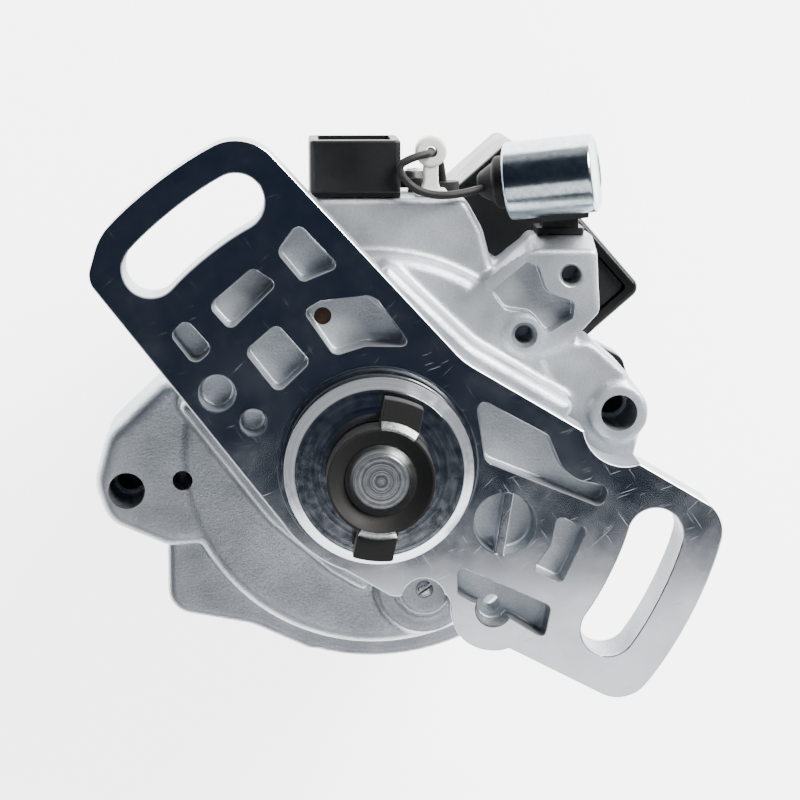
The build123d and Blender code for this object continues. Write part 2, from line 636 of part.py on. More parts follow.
def connector_housing():
    """Rectangular plug housing with chamfered corners, a latch ramp and a screw foot each side."""
    x0, x1 = CONN_X
    z0, z1 = CONN_Z
    base = LOBE_TOP_Y + 0.8
    body = block(x0, x1, base, CONN_TOP_Y, z0, z1)
    body = chamfer(body.edges().filter_by(Axis.Z).group_by(Axis.Y)[-1], 1.5)
    body = fillet(body.edges().filter_by(Axis.Y), 0.8)
    body += block(x0 + 1, x1 + 4.7, base, base + 1.8, CONN_SCREW_Z - 2.4, CONN_SCREW_Z + 2.6)
    body += block(-5.4, -1.2, base + 3.2, CONN_TOP_Y - 2.6, z1 - 0.2, z1 + 1.1)
    body -= block(x0 + 1.6, x1 - 1.6, base + 2.2, CONN_TOP_Y + 1, z0 + 1.6, z1 - 1.6)
    body -= Pos(x1 + 3.0, base, CONN_SCREW_Z) * Rot(90, 0, 0) * Cylinder(1.25, 9)
    for pin in connector_pins_at():
        body -= pin_blade(*pin)
    return body


def connector_pins_at():
    return [(x, z) for x in (-7.6, -3.3, 1.0) for z in (-24.6, -19.4)]


def pin_blade(x, z):
    base = LOBE_TOP_Y + 0.8
    return block(x - 0.9, x + 0.9, base - 2.6, base + 6.8, z - 0.4, z + 0.4)


def connector_seal():
    face = block(CONN_X[0], CONN_X[1], LOBE_TOP_Y, LOBE_TOP_Y + 0.8, CONN_Z[0] + 1, CONN_Z[1] - 1.4)
    return face - block(-9.4, 2.8, LOBE_TOP_Y - 1, LOBE_TOP_Y + 2, -27.2, -17.2)


def connector_screw():
    at = Pos(CONN_X[1] + 3.0, LOBE_TOP_Y + 2.6, CONN_SCREW_Z) * Rot(-90, 0, 0)
    return screw(at, 1.8, 1.5, 1.25, 6.2)


def can_place():
    """Condenser axis: along +X, tilted up and turned towards the viewer."""
    return Pos(*CAN_AT) * Rot(0, 0, CAN_TILT) * Rot(0, -CAN_TURN, 0) * Rot(0, 90, 0)


def condenser_can():
    """Drawn can with a rolled bead near the open end and a crimped edge."""
    body = Cylinder(CAN_R, CAN_LEN)
    body = fillet(body.edges().group_by(Axis.Z)[-1], 1.1)
    body = chamfer(body.edges().group_by(Axis.Z)[0], 0.5)
    body -= Pos(0, 0, -CAN_LEN / 2 + 2.2) * Torus(CAN_R + 0.25, 0.6)
    body -= Pos(0, 0, -CAN_LEN / 2) * Cylinder(CAN_R - 1.2, 1.6)
    return can_place() * body


def condenser_bracket():
    """Saddle welded to the back of the can, with a foot on the ledge of the web."""
    band = Cylinder(CAN_R + 1.2, 8.0) - Cylinder(CAN_R, 10.0)
    band -= Pos(-16.4, 0, 0) * Box(40, 40, 12)
    saddle = can_place() * (Pos(0, 0, 1.4) * band)
    foot = block(28.6, 37.0, BRACKET_TOP_Y, BRACKET_TOP_Y + 1.2, -26.8, -18.2)
    foot = fillet(foot.edges().filter_by(Axis.Y), 1.6)
    riser = block(29.6, 36.0, BRACKET_TOP_Y + 0.2, 42.6, -19.6, -18.4)
    riser -= can_place() * Cylinder(CAN_R, CAN_LEN)
    return saddle + foot + riser - condenser_screw()


def condenser_screw():
    at = Pos(COND_SCREW[0], BRACKET_TOP_Y + 1.2, COND_SCREW[1]) * Rot(-90, 0, 0)
    return screw(at, 2.9, 1.8, 1.65, 6.5)


def condenser_boot():
    """Rubber boot over the lead end of the can."""
    start = -CAN_LEN / 2 + 0.8
    body = Pos(0, 0, start - 1.4) * Cylinder(4.6, 2.8)
    body += Pos(0, 0, start - 3.6) * Cone(2.0, 3.6, 3.0)
    return can_place() * body - condenser_lead()


def lead_clip():
    """Nylon clip: barbed pin in the lobe, flat stem and an eye round the lead."""
    y = LOBE_TOP_Y
    body = block(CLIP_X - 1.8, CLIP_X + 1.8, y, CLIP_EYE_Y - 1, CLIP_Z - 1.6, CLIP_Z + 1.6)
    body += block(CLIP_X - 2.8, CLIP_X + 2.8, y, y + 1.2, CLIP_Z - 2.6, CLIP_Z + 2.6)
    body += Pos(CLIP_X, CLIP_EYE_Y, CLIP_Z) * Cylinder(2.7, 4.4)
    body += Pos(CLIP_X, y - 2.0, CLIP_Z) * Rot(90, 0, 0) * Cylinder(1.2, 4.4)
    body += Pos(CLIP_X, y - 3.9, CLIP_Z) * Rot(90, 0, 0) * Cone(1.2, 0.7, 1.0)
    return body - Pos(CLIP_X, CLIP_EYE_Y, CLIP_Z) * Cylinder(LEAD_R + 0.3, 8)


def lead_grommet():
    x, y, z = GROMMET_AT
    body = Pos(x, y + 0.9, z) * Rot(90, 0, 0) * Cylinder(2.8, 1.8)
    body += Pos(x, y - 1.6, z) * Rot(90, 0, 0) * Cylinder(1.9, 3.4)
    return body - Pos(x, y - 1, z) * Rot(90, 0, 0) * Cylinder(LEAD_R, 12)


def condenser_lead():
    """Lead from the boot, looped in front of the connector, through the clip and into the lobe."""
    x, y, z = GROMMET_AT
    boot = can_place() * Pos(0, 0, -CAN_LEN / 2 - 1.6)
    start = boot.position
    points = [tuple(start), (15.6, y + 0.4, -13.3), (7.6, y + 0.6, -12.8), (3.4, y + 5.3, -12.7),
              (6.6, CLIP_EYE_Y - 0.6, -12.8), (CLIP_X, CLIP_EYE_Y, -14.4),
              (CLIP_X, CLIP_EYE_Y, -22.6), (x, y + 5.3, z), (x, y - 3.4, z)]
    path = FilletPolyline(*points, radius=[2.4, 2.4, 2.2, 2.2, 1.2, 1.4, 1.4])
    return sweep(Plane(path @ 0, z_dir=path % 0) * Circle(LEAD_R), path=path)


# Shaft assembly

def shaft():
    rear = REAR_BEARING_Z - BEARING_W / 2
    body = turned((0, SHAFT_END_Z), (SHAFT_R - 1.5, SHAFT_END_Z), (SHAFT_R, SHAFT_END_Z - 1.5),
                  (SHAFT_R, rear), (SHAFT_R - 0.5, rear), (SHAFT_R - 0.5, rear - 1.0),
                  (SHAFT_R, rear - 1.0), (SHAFT_R, rear - 2.2), (5.0, rear - 2.2), (5.0, -36.4),
                  (4.0, -37.2), (4.0, -46.2), (0, -46.2))
    body -= Pos(0, 6.0, ROTOR_SCREW_Z) * Rot(90, 0, 0) * Cylinder(1.5, 6)
    return body - coupling_pin()


def drive_coupling():
    """Hub with two drive lugs in line, set off to one side of the shaft axis."""
    hub = ring(9.0, SHAFT_R, 7.9, 14.2)
    hub = chamfer(hub.edges().group_by(Axis.Z)[-1].sort_by(SortBy.RADIUS)[:1], 0.6)
    lugs = block(LUG_SHIFT - LUG_W / 2, LUG_SHIFT + LUG_W / 2, -20, 20, 9.4, 13.2)
    lugs &= ring(LUG_R, 8.0, 9, 14)
    skirt = turned((8.6, 12.0), (10.0, 13.2), (9.0, 14.2), (8.6, 14.2))
    skirt &= block(LUG_SHIFT - LUG_W / 2, LUG_SHIFT + LUG_W / 2, -20, 20, 9.4, 15)
    body = hub + Rot(0, 0, LUG_TILT) * (lugs + skirt)
    return body - coupling_pin()


def coupling_pin():
    return Rot(0, 0, LUG_TILT) * Pos(0, 0, 10.9) * Rot(0, 90, 0) * Cylinder(1.5, 17.2)


def circlip():
    z = REAR_BEARING_Z - BEARING_W / 2
    body = ring(7.4, SHAFT_R - 0.5, z - 1.0, z)
    body -= block(5.0, 9.0, -1.4, 1.4, z - 2, z + 1)
    for y in (-2.4, 2.4):
        body += disc(6.7, y, 1.1, z - 1.0, z) - disc(0, 0, SHAFT_R - 0.5, z - 2, z + 1)
    return body


def trigger_hub():
    return turned((5.0, -34.0), (HUB_R, -34.0), (HUB_R, WHEEL_Z - 0.5), (7.0, WHEEL_Z - 0.5),
                  (7.0, WHEEL_Z + 1.0), (5.0, WHEEL_Z + 1.0))


def trigger_wheel():
    """Thin wheel with a ring of fine slits and four cylinder windows."""
    body = ring(WHEEL_R, 7.0, WHEEL_Z - 0.5, WHEEL_Z + 0.5)
    for i in range(24):
        body -= Rot(0, 0, i * 15) * Pos(WHEEL_R - 2.0, 0, WHEEL_Z) * Box(2.6, 1.2, 3)
    for i in range(4):
        body -= Rot(0, 0, i * 90 + 20) * Pos(WHEEL_R - 5.4, 0, WHEEL_Z) * Box(1.8, 4.0 + i, 3)
        body -= disc(*polar(WHEEL_R / 2 + 0.5, i * 90 + 45), 2.6, WHEEL_Z - 1, WHEEL_Z + 1)
    return body


def rotor_arm():
    """Moulded rotor: hub on the shaft end, arm, counterweight and a skirt rib."""
    tip = ELECTRODE_R - 3.9
    body = disc(0, 0, 8.0, ROTOR_SEAT_Z, BLADE_Z + 0.8)
    arm = outline((-16.0, -6.5, 3), (-16.0, 6.5, 3), (0.0, 9.0, 4), (tip, 5.0, 2.5),
                  (tip, -5.0, 2.5), (0.0, -9.0, 4))
    body += prism(arm, BLADE_Z + 0.8, BLADE_Z + 4.4)
    body += block(6.0, tip - 3.5, -1.1, 1.1, BLADE_Z + 4.0, BLADE_Z + 8.0)
    body += block(-14.0, -6.0, -1.1, 1.1, BLADE_Z + 4.0, BLADE_Z + 8.0)
    body += block(-3.6, 3.6, 7.0, 8.6, -44.0, ROTOR_SEAT_Z - 0.4)
    body -= disc(0, 0, 4.0, ROTOR_SEAT_Z + 1, -46.2)
    body -= Pos(0, 8.0, ROTOR_SCREW_Z) * Rot(90, 0, 0) * Cylinder(1.5, 9)
    return body + block(12.0, 16.0, -1.6, 1.6, BLADE_Z + 0.8, BLADE_Z + 0.2)


def rotor_blade():
    """Brass blade from the centre button to the tip that passes the electrodes."""
    blade = outline((-4.4, -4.4, 4), (-4.4, 4.4, 4), (6.0, 3.4, 3), (ELECTRODE_R - 0.8, 3.4, 0.6),
                    (ELECTRODE_R - 0.8, -3.4, 0.6), (6.0, -3.4, 3))
    return prism(blade, BLADE_Z, BLADE_Z + 0.8) - block(11.8, 16.2, -1.8, 1.8, BLADE_Z - 1, BLADE_Z + 0.9)


def brush_spring():
    """Compression spring between the brush and the roof contact."""
    tip = BLADE_Z - 0.1 - BRUSH_LEN
    height = tip - CONTACT_Z - 0.5
    path = Helix(pitch=height / 3.5, height=height, radius=1.8)
    coil = sweep(Plane(path @ 0, z_dir=path % 0) * Circle(0.24), path=path)
    return Pos(0, 0, CONTACT_Z + 0.25) * coil


def build_fixed():
    """Bearing seats, pickup and module held by the housing."""
    save("housing", housing())
    save("spigot_o_ring", o_ring())
    save("oil_seal", oil_seal())
    save("front_bearing_outer_race", outer_race(FRONT_BEARING_Z))
    save("rear_bearing_outer_race", outer_race(REAR_BEARING_Z))
    save("bearing_spacer_tube", spacer_tube())
    save("bearing_retainer", bearing_retainer())
    save("retainer_screws", *[screw(rear_facing(x, y, BARREL_END_Z - 1.5), 2.2, 1.4, 1.25, 6.5)
                              for x, y in retainer_screws_at()])
    save("pickup_base", pickup_base())
    top = BASE_PLATE_Z + 1.2
    save("base_screws", *[screw(rear_facing(*polar(POST_PITCH_R, a), top - 1.5), 2.2, 1.3, 1.25, 7.0)
                          for a in POST_ANGLES])
    save("pickup_sensor", pickup_sensor())
    fixing = screw(rear_facing(WHEEL_R + 0.6, 8.8, BASE_PLATE_Z - 1.9), 1.7, 1.0, 1.0, 3.0)
    save("sensor_screws", *[Rot(0, 0, SENSOR_ANGLE) * Pos(0, dy, 0) * fixing for dy in (-17.6, 0)])
    save("ignition_module", ignition_module())
    save("module_screws", *[screw(rear_facing(x, MODULE_SCREW_Y, PLATEAU_Z - WALL - 1.8), 1.9, 1.2, 1.0, 4.0)
                            for x in MODULE_SCREW_X])
    save("body_screw", body_screw())
    save("gallery_plug", disc(-9.2, 25.1, 1.5, -POCKET_DEPTH - 0.6, -9.0))


def body_screw():
    """Slotted set screw in its cast boss."""
    body = disc(*PIN_XY, 1.5, -9.3, -15.0)
    return body - Pos(*PIN_XY, -9.3) * Rot(0, 0, 35) * Box(4, 0.6, 1.2)


def build_cap():
    save("dust_shield", dust_shield())
    save("cap_gasket", cap_gasket())
    save("distributor_cap", distributor_cap())
    save("cap_screws", *[cap_screw(at, 7.0) for at in (LEFT_EAR, RIGHT_EAR, LOBE_BOSS)])
    save("cap_electrodes", *[electrode(a) for a in TOWER_ANGLES])
    save("tower_terminals", *[tower_terminal(a) for a in TOWER_ANGLES])
    save("centre_contact", centre_contact())
    save("coil_body", coil_body())
    save("coil_winding", coil_winding())
    save("coil_core", coil_core())


def build_upper_side():
    save("connector_housing", connector_housing())
    save("connector_terminals", *[pin_blade(*pin) for pin in connector_pins_at()])
    save("connector_seal", connector_seal())
    save("connector_screw", connector_screw())
    save("condenser_can", condenser_can())
    save("condenser_bracket", condenser_bracket())
    save("condenser_screw", condenser_screw())
    save("condenser_boot", condenser_boot())
    save("condenser_lead", condenser_lead())
    save("lead_clip", lead_clip())
    save("lead_grommet", lead_grommet())


def build_shaft():
    save("shaft", shaft())
    save("drive_coupling", drive_coupling())
    save("coupling_pin", coupling_pin())
    save("thrust_washer", ring(8.2, SHAFT_R, 7.2, 7.9))
    save("front_bearing_inner_race", inner_race(FRONT_BEARING_Z))
    save("rear_bearing_inner_race", inner_race(REAR_BEARING_Z))
    save("inner_spacer", ring(8.2, SHAFT_R, REAR_BEARING_Z + BEARING_W / 2, FRONT_BEARING_Z - BEARING_W / 2))
    save("shaft_circlip", circlip())
    save("trigger_hub", trigger_hub())
    save("trigger_wheel", trigger_wheel())
    save("rotor_arm", rotor_arm())
    save("rotor_blade", rotor_blade())
    save("rotor_screw", screw(Pos(0, 8.6, ROTOR_SCREW_Z) * Rot(-90, 0, 0), 2.6, 1.5, 1.5, 5.0))
    save("front_bearing_balls", *ball_set(FRONT_BEARING_Z))
    save("front_bearing_cage", cage(FRONT_BEARING_Z))
    save("rear_bearing_balls", *ball_set(REAR_BEARING_Z))
    save("rear_bearing_cage", cage(REAR_BEARING_Z))
    save("carbon_brush", disc(0, 0, BRUSH_R, BLADE_Z - 0.1, BLADE_Z - 0.1 - BRUSH_LEN))
    save("brush_spring", brush_spring())


def main():
    os.makedirs("parts", exist_ok=True)
    build_fixed()
    build_cap()
    build_upper_side()
    build_shaft()
    for name, shape in pieces.items():
        export_step(shape, f"parts/{name}.step")


if __name__ == "__main__":
    main()
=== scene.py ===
"""Looks of the ignition distributor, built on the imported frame.

The meshes are drawn in millimetres and become metres when they are added to the scene.
"""
from math import atan2, cos, degrees, pi, radians, sin, sqrt, tan

import bmesh
import bpy
from mathutils import Matrix, Vector


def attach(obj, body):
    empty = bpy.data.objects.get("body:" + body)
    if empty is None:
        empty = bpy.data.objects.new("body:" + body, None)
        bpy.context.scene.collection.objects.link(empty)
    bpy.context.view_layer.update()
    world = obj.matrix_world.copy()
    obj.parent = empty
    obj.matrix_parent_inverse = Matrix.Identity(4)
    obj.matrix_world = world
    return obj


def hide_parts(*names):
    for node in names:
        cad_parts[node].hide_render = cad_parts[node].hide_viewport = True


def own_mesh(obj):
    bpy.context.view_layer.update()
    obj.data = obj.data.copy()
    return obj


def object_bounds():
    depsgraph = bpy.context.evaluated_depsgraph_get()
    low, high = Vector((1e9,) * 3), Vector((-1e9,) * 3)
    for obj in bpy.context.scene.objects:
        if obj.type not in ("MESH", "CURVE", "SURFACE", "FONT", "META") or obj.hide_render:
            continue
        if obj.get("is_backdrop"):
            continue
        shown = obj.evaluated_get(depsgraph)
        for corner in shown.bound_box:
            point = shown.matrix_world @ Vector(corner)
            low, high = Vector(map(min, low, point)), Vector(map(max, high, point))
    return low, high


bl_info = {
    "name": "Ignition distributor",
    "version": (1, 1, 0),
    "blender": (4, 5, 0),
    "location": "3D View > Sidebar > Distributor",
    "description": "Builds the visible pieces, finishes and stage of the distributor",
    "category": "Object",
}

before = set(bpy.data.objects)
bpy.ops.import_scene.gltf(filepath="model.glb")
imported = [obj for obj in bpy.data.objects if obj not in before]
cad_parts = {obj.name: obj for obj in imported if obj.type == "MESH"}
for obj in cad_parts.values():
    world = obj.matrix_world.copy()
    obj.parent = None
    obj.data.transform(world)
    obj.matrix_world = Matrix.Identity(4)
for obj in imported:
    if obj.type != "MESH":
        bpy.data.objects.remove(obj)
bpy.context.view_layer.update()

MM = 0.001
PLATEAU_Z = -12.5
RIM_Z = -20.0
PARTING_Z = -34.0
RIM_R = 39.1
BOWL_R = 35.0
CAP_INNER_R = 35.2
CAP_R = 38.6
CAP_ROOF_Z = -64.0
CAP_ROOF_T = 4.0
EAR_Z = PLATEAU_Z - 0.3
LEFT_EAR = (-43.49, -6.66)
RIGHT_EAR = (42.80, 6.57)
LOBE_BOSS = (-31.80, -25.80)
PIN_XY = (8.5, -24.1)
DRILLED_AT = (19.9, -25.4)
PLUG_AT = (-9.2, 25.1)
VENT_AT = (-33.7, -4.9)
BRACKET_HOLES = ((34.1, 30.9), (26.0, 20.5))
POST_ANGLES = (150, 270, 30)
POST_PITCH_R = 28.0
LOBE_TOP_Y = 44.3
WEB_TOP_Y = 37.4
TOWER_ANGLES = (85, 175, 265, 355)
TOWER_PITCH_R = 24.0
COIL_ANGLE = 41.2
CONTACT_Z = -61.6
LUG_TILT = -11.5
CAN_R = 6.8
CAN_HALF = 7.8
CLIP_AT = (10.0, 52.0, -19.0)
BARREL_SEAT_R = 17.0
EAR_BORE_R = 3.2
CAP_SCREW_R = 2.5
MILLED_DEPTH = 0.32
STANDING = Matrix.Rotation(pi / 2, 4, "X")
materials = {}


# Meshes, in millimetres

def outline(bm, corners, z=0.0):
    """Flat face through (x, y, radius) corners, each corner rounded by a bevel."""
    count = len(corners)
    verts = [bm.verts.new((x, y, z)) for x, y, _ in corners]
    bm.faces.new(verts)
    for i, (x, y, r) in enumerate(corners):
        here = Vector((x, y))
        back = Vector(corners[i - 1][:2]) - here
        ahead = Vector(corners[(i + 1) % count][:2]) - here
        opening = back.angle(ahead)
        if r > 0 and opening < 3.1:
            step = 0.12 if r < 12 else 0.045
            bmesh.ops.bevel(bm, geom=[verts[i]], offset=r / tan(opening / 2), offset_type="OFFSET",
                            segments=max(2, round((pi - opening) / step)), profile=0.5,
                            affect="VERTICES", material=-1)
    bmesh.ops.remove_doubles(bm, verts=bm.verts, dist=0.025)
    bmesh.ops.recalc_face_normals(bm, faces=bm.faces)
    return bm.faces[:][0]


def join(bm, part, place=None):
    """Move one mesh into its place and add it to another."""
    if place:
        bmesh.ops.transform(part, matrix=place, verts=part.verts)
    mesh = bpy.data.meshes.new("part")
    part.to_mesh(mesh)
    part.free()
    bm.from_mesh(mesh)
    bpy.data.meshes.remove(mesh)


def draw_out(part, face, height):
    """Extrude a face along the shaft direction and return the faces at its new end."""
    grown = bmesh.ops.extrude_face_region(part, geom=[face])["geom"]
    bmesh.ops.translate(part, verts=[g for g in grown if isinstance(g, bmesh.types.BMVert)],
                        vec=(0, 0, height))
    bmesh.ops.recalc_face_normals(part, faces=part.faces)
    return [g for g in grown if isinstance(g, bmesh.types.BMFace)]


def slab(bm, corners, z0, z1, edge=0.4, low_edge=0.0, place=None):
    """Upright solid over an outline, its top and bottom rims rounded."""
    part = bmesh.new()
    draw_out(part, outline(part, corners, z0), z1 - z0)
    for height, size in ((z1, edge), (z0, low_edge)):
        rim = [e for e in part.edges if all(abs(v.co.z - height) < 1e-4 for v in e.verts)]
        if size > 0:
            bmesh.ops.bevel(part, geom=rim, offset=size, offset_type="OFFSET", segments=4, profile=0.5,
                            affect="EDGES", material=-1)
    join(bm, part, place)


def turned(bm, profile, place=None, steps=96, sweep=360.0):
    """Closed profile of (radius, height, corner radius) points spun about the axis."""
    part = bmesh.new()
    face = outline(part, profile)
    bmesh.ops.rotate(part, verts=part.verts, matrix=Matrix.Rotation(pi / 2, 3, "X"))
    full = sweep >= 360.0
    if full:
        bmesh.ops.delete(part, geom=[face], context="FACES_ONLY")
        on_axis = [e for e in part.edges if all(abs(v.co.x) < 1e-4 for v in e.verts)]
        bmesh.ops.delete(part, geom=on_axis, context="EDGES")
    bmesh.ops.spin(part, geom=part.verts[:] + part.edges[:] + part.faces[:], cent=(0, 0, 0),
                   axis=(0, 0, 1), angle=radians(sweep), steps=steps, use_merge=full)
    bmesh.ops.remove_doubles(part, verts=part.verts, dist=0.002)
    bmesh.ops.recalc_face_normals(part, faces=part.faces)
    join(bm, part, place)


def disc(bm, x, y, r, z0, z1, edge=0.0):
    """Upright cylinder between two heights, its top rim rounded."""
    turned(bm, [(0, z0, 0), (r, z0, 0), (r, z1, edge), (0, z1, 0)], at(x, y), 64)


def sink(bm, corners, depth, draft=0.15, floor_r=0.4, mouth=0.12):
    """Cutter for a cast pocket: broken mouth, drafted walls and a rounded floor."""
    above = 0.6
    part = bmesh.new()
    floor = draw_out(part, outline(part, corners, above), -above)
    steps = [(mouth, mouth), (draft, depth - mouth - floor_r), (floor_r * 0.13, floor_r * 0.5),
             (floor_r * 0.37, floor_r * 0.37), (floor_r * 0.5, floor_r * 0.13)]
    for inwards, down in steps:
        bmesh.ops.inset_region(part, faces=floor, thickness=inwards, depth=down, use_even_offset=True)
    join(bm, part)


def at(x, y, z=0.0, turn=0.0):
    """Place at a point, turned about the shaft direction."""
    return Matrix.Translation((x, y, z)) @ Matrix.Rotation(radians(turn), 4, "Z")


def polar(r, angle):
    """Point at a radius and an angle about the shaft."""
    return r * cos(radians(angle)), r * sin(radians(angle))


def bend(r, start, end, centre=(0, 0)):
    """Corner whose rounding is the arc from one angle to the other about a centre."""
    half = (end - start) / 2
    x, y = polar(r / cos(radians(half)), start + half)
    return centre[0] + x, centre[1] + y, r


def in_scene(name, data):
    """New object at the scene's origin."""
    item = bpy.data.objects.new(name, data)
    bpy.context.scene.collection.objects.link(item)
    return item


def closed_mesh(name, bm):
    """Mesh in metres, its faces turned outwards."""
    bmesh.ops.recalc_face_normals(bm, faces=bm.faces)
    bmesh.ops.scale(bm, verts=bm.verts, vec=(MM, MM, MM))
    mesh = bpy.data.meshes.new(name)
    bm.to_mesh(mesh)
    bm.free()
    return mesh


def shade(piece, sharp):
    """Smooth shading that keeps edges past an angle sharp."""
    piece.data.shade_smooth()
    piece.data.set_sharp_from_angle(angle=radians(sharp))
    piece.modifiers.new("even shading", "WEIGHTED_NORMAL").keep_sharp = True


def add(name, bm, surface, body="housing", replaces=(), sharp=35):
    """Give a mesh its finish and body, and hide the nodes it stands for."""
    piece = in_scene(name, closed_mesh(name, bm))
    piece.data.materials.append(materials[surface])
    shade(piece, sharp)
    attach(piece, body)
    if replaces:
        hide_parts(*replaces)
    return piece


def settle(piece, sharp):
    """Make the result of a piece's modifiers its mesh, and find its sharp edges again."""
    evaluated = piece.evaluated_get(bpy.context.evaluated_depsgraph_get())
    mesh = bpy.data.meshes.new_from_object(evaluated)
    piece.modifiers.clear()
    old = piece.data
    piece.data = mesh
    bpy.data.meshes.remove(old)
    shade(piece, sharp)


def carve(piece, bm, operation="DIFFERENCE", sharp=35):
    """Cut a closed mesh out of a piece, or unite it with the piece."""
    mesh = closed_mesh("cutter", bm)
    tool = in_scene("cutter", mesh)
    piece.modifiers.clear()
    boolean = piece.modifiers.new("carve", "BOOLEAN")
    boolean.operation = operation
    boolean.solver = "EXACT"
    boolean.object = tool
    boolean.use_self = True
    settle(piece, sharp)
    bpy.data.objects.remove(tool)
    bpy.data.meshes.remove(mesh)


# Finishes

def linear(hex_colour):
    """sRGB hex colour as linear RGBA."""
    out = []
    for i in (1, 3, 5):
        v = int(hex_colour[i:i + 2], 16) / 255
        out.append(v / 12.92 if v <= 0.04045 else ((v + 0.055) / 1.055) ** 2.4)
    return (*out, 1.0)


def node(tree, kind, inputs=None, **settings):
    """Add one shader node with its settings, values and links."""
    added = tree.nodes.new(kind)
    for key, value in settings.items():
        setattr(added, key, value)
    for key, value in (inputs or {}).items():
        if isinstance(value, bpy.types.NodeSocket):
            tree.links.new(value, added.inputs[key])
        else:
            added.inputs[key].default_value = value
    return added


def finish(name):
    """Empty material with its place on the object in metres."""
    material = bpy.data.materials.new(name)
    material.use_nodes = True
    material.node_tree.nodes.clear()
    materials[name] = material
    tree = material.node_tree
    return tree, node(tree, "ShaderNodeTexCoord").outputs["Object"]


def cast_shader(tree, place, colours):
    """Shot-blasted casting: 0.4 mm grain catches the light, 1.1 mm pits, soft stains of about 10 mm."""
    grain = node(tree, "ShaderNodeTexNoise", {"Vector": place, "Scale": 2600.0, "Detail": 3.0,
                                              "Roughness": 0.7}).outputs["Fac"]
    stain = node(tree, "ShaderNodeTexNoise", {"Vector": place, "Scale": 90.0, "Detail": 3.0}).outputs["Fac"]
    pits = node(tree, "ShaderNodeTexNoise", {"Vector": place, "Scale": 900.0, "Detail": 2.0}).outputs["Fac"]
    stained = node(tree, "ShaderNodeMapRange", {"Value": stain, "From Min": 0.35, "From Max": 0.7})
    shaded = node(tree, "ShaderNodeMapRange", {"Value": grain, "From Min": 0.3, "From Max": 0.75,
                                               "To Max": 0.45})
    base = node(tree, "ShaderNodeMix", {0: stained.outputs[0], 6: (*colours.casting, 1.0),
                                        7: (*colours.casting_stain, 1.0)}, data_type="RGBA")
    base = node(tree, "ShaderNodeMix", {0: shaded.outputs[0], 6: base.outputs[2], 7: linear("#75777A")},
                data_type="RGBA")
    rough = node(tree, "ShaderNodeMapRange", {"Value": grain, "From Min": 0.2, "From Max": 0.8,
                                              "To Min": 0.36, "To Max": 0.52})
    fine = node(tree, "ShaderNodeBump", {"Height": grain, "Distance": 0.00008, "Strength": 0.8})
    coarse = node(tree, "ShaderNodeBump", {"Height": pits, "Distance": 0.0001, "Strength": 0.35,
                                           "Normal": fine.outputs[0]})
    return node(tree, "ShaderNodeBsdfPrincipled", {
        "Base Color": base.outputs[2], "Metallic": 0.9, "Roughness": rough.outputs[0],
        "Normal": coarse.outputs[0]}).outputs[0]


def milled_shader(tree, place, colours):
    """Fly-cut face: mirror-like and cloudy, with short scratches.

    The scratches are drawn about 0.1 mm wide, coarser than real ones, so that they show.
    """
    cloud = node(tree, "ShaderNodeTexNoise", {"Vector": place, "Scale": 110.0, "Detail": 5.0,
                                              "Roughness": 0.62}).outputs["Fac"]
    marks = None
    for turn, scale in ((0.6, 4600.0), (-0.8, 4100.0), (1.9, 5300.0)):
        along = node(tree, "ShaderNodeMapping", {"Vector": place, "Rotation": (0, 0, turn),
                                                 "Scale": (1.0, 32.0, 1.0)}, vector_type="TEXTURE").outputs[0]
        line = node(tree, "ShaderNodeTexNoise", {"Vector": along, "Scale": scale,
                                                 "Detail": 1.0}).outputs["Fac"]
        thin = node(tree, "ShaderNodeMapRange", {"Value": line, "From Min": 0.71,
                                                 "From Max": 0.86}).outputs[0]
        if marks:
            thin = node(tree, "ShaderNodeMath", {0: marks, 1: thin}, operation="MAXIMUM").outputs[0]
        marks = thin
    smear = node(tree, "ShaderNodeMapRange", {"Value": cloud, "From Min": 0.3, "From Max": 0.72,
                                              "To Min": 0.08, "To Max": 0.16}).outputs[0]
    rough = node(tree, "ShaderNodeMath", {0: marks, 1: 0.16, 2: smear}, operation="MULTIPLY_ADD").outputs[0]
    base = node(tree, "ShaderNodeMix", {0: marks, 6: (*colours.milled_face, 1.0), 7: linear("#F2F3F4")},
                data_type="RGBA")
    dents = node(tree, "ShaderNodeBump", {"Height": marks, "Distance": 0.00001, "Strength": 0.4})
    return node(tree, "ShaderNodeBsdfPrincipled", {
        "Base Color": base.outputs[2], "Metallic": 1.0, "Roughness": rough,
        "Normal": dents.outputs[0]}).outputs[0]


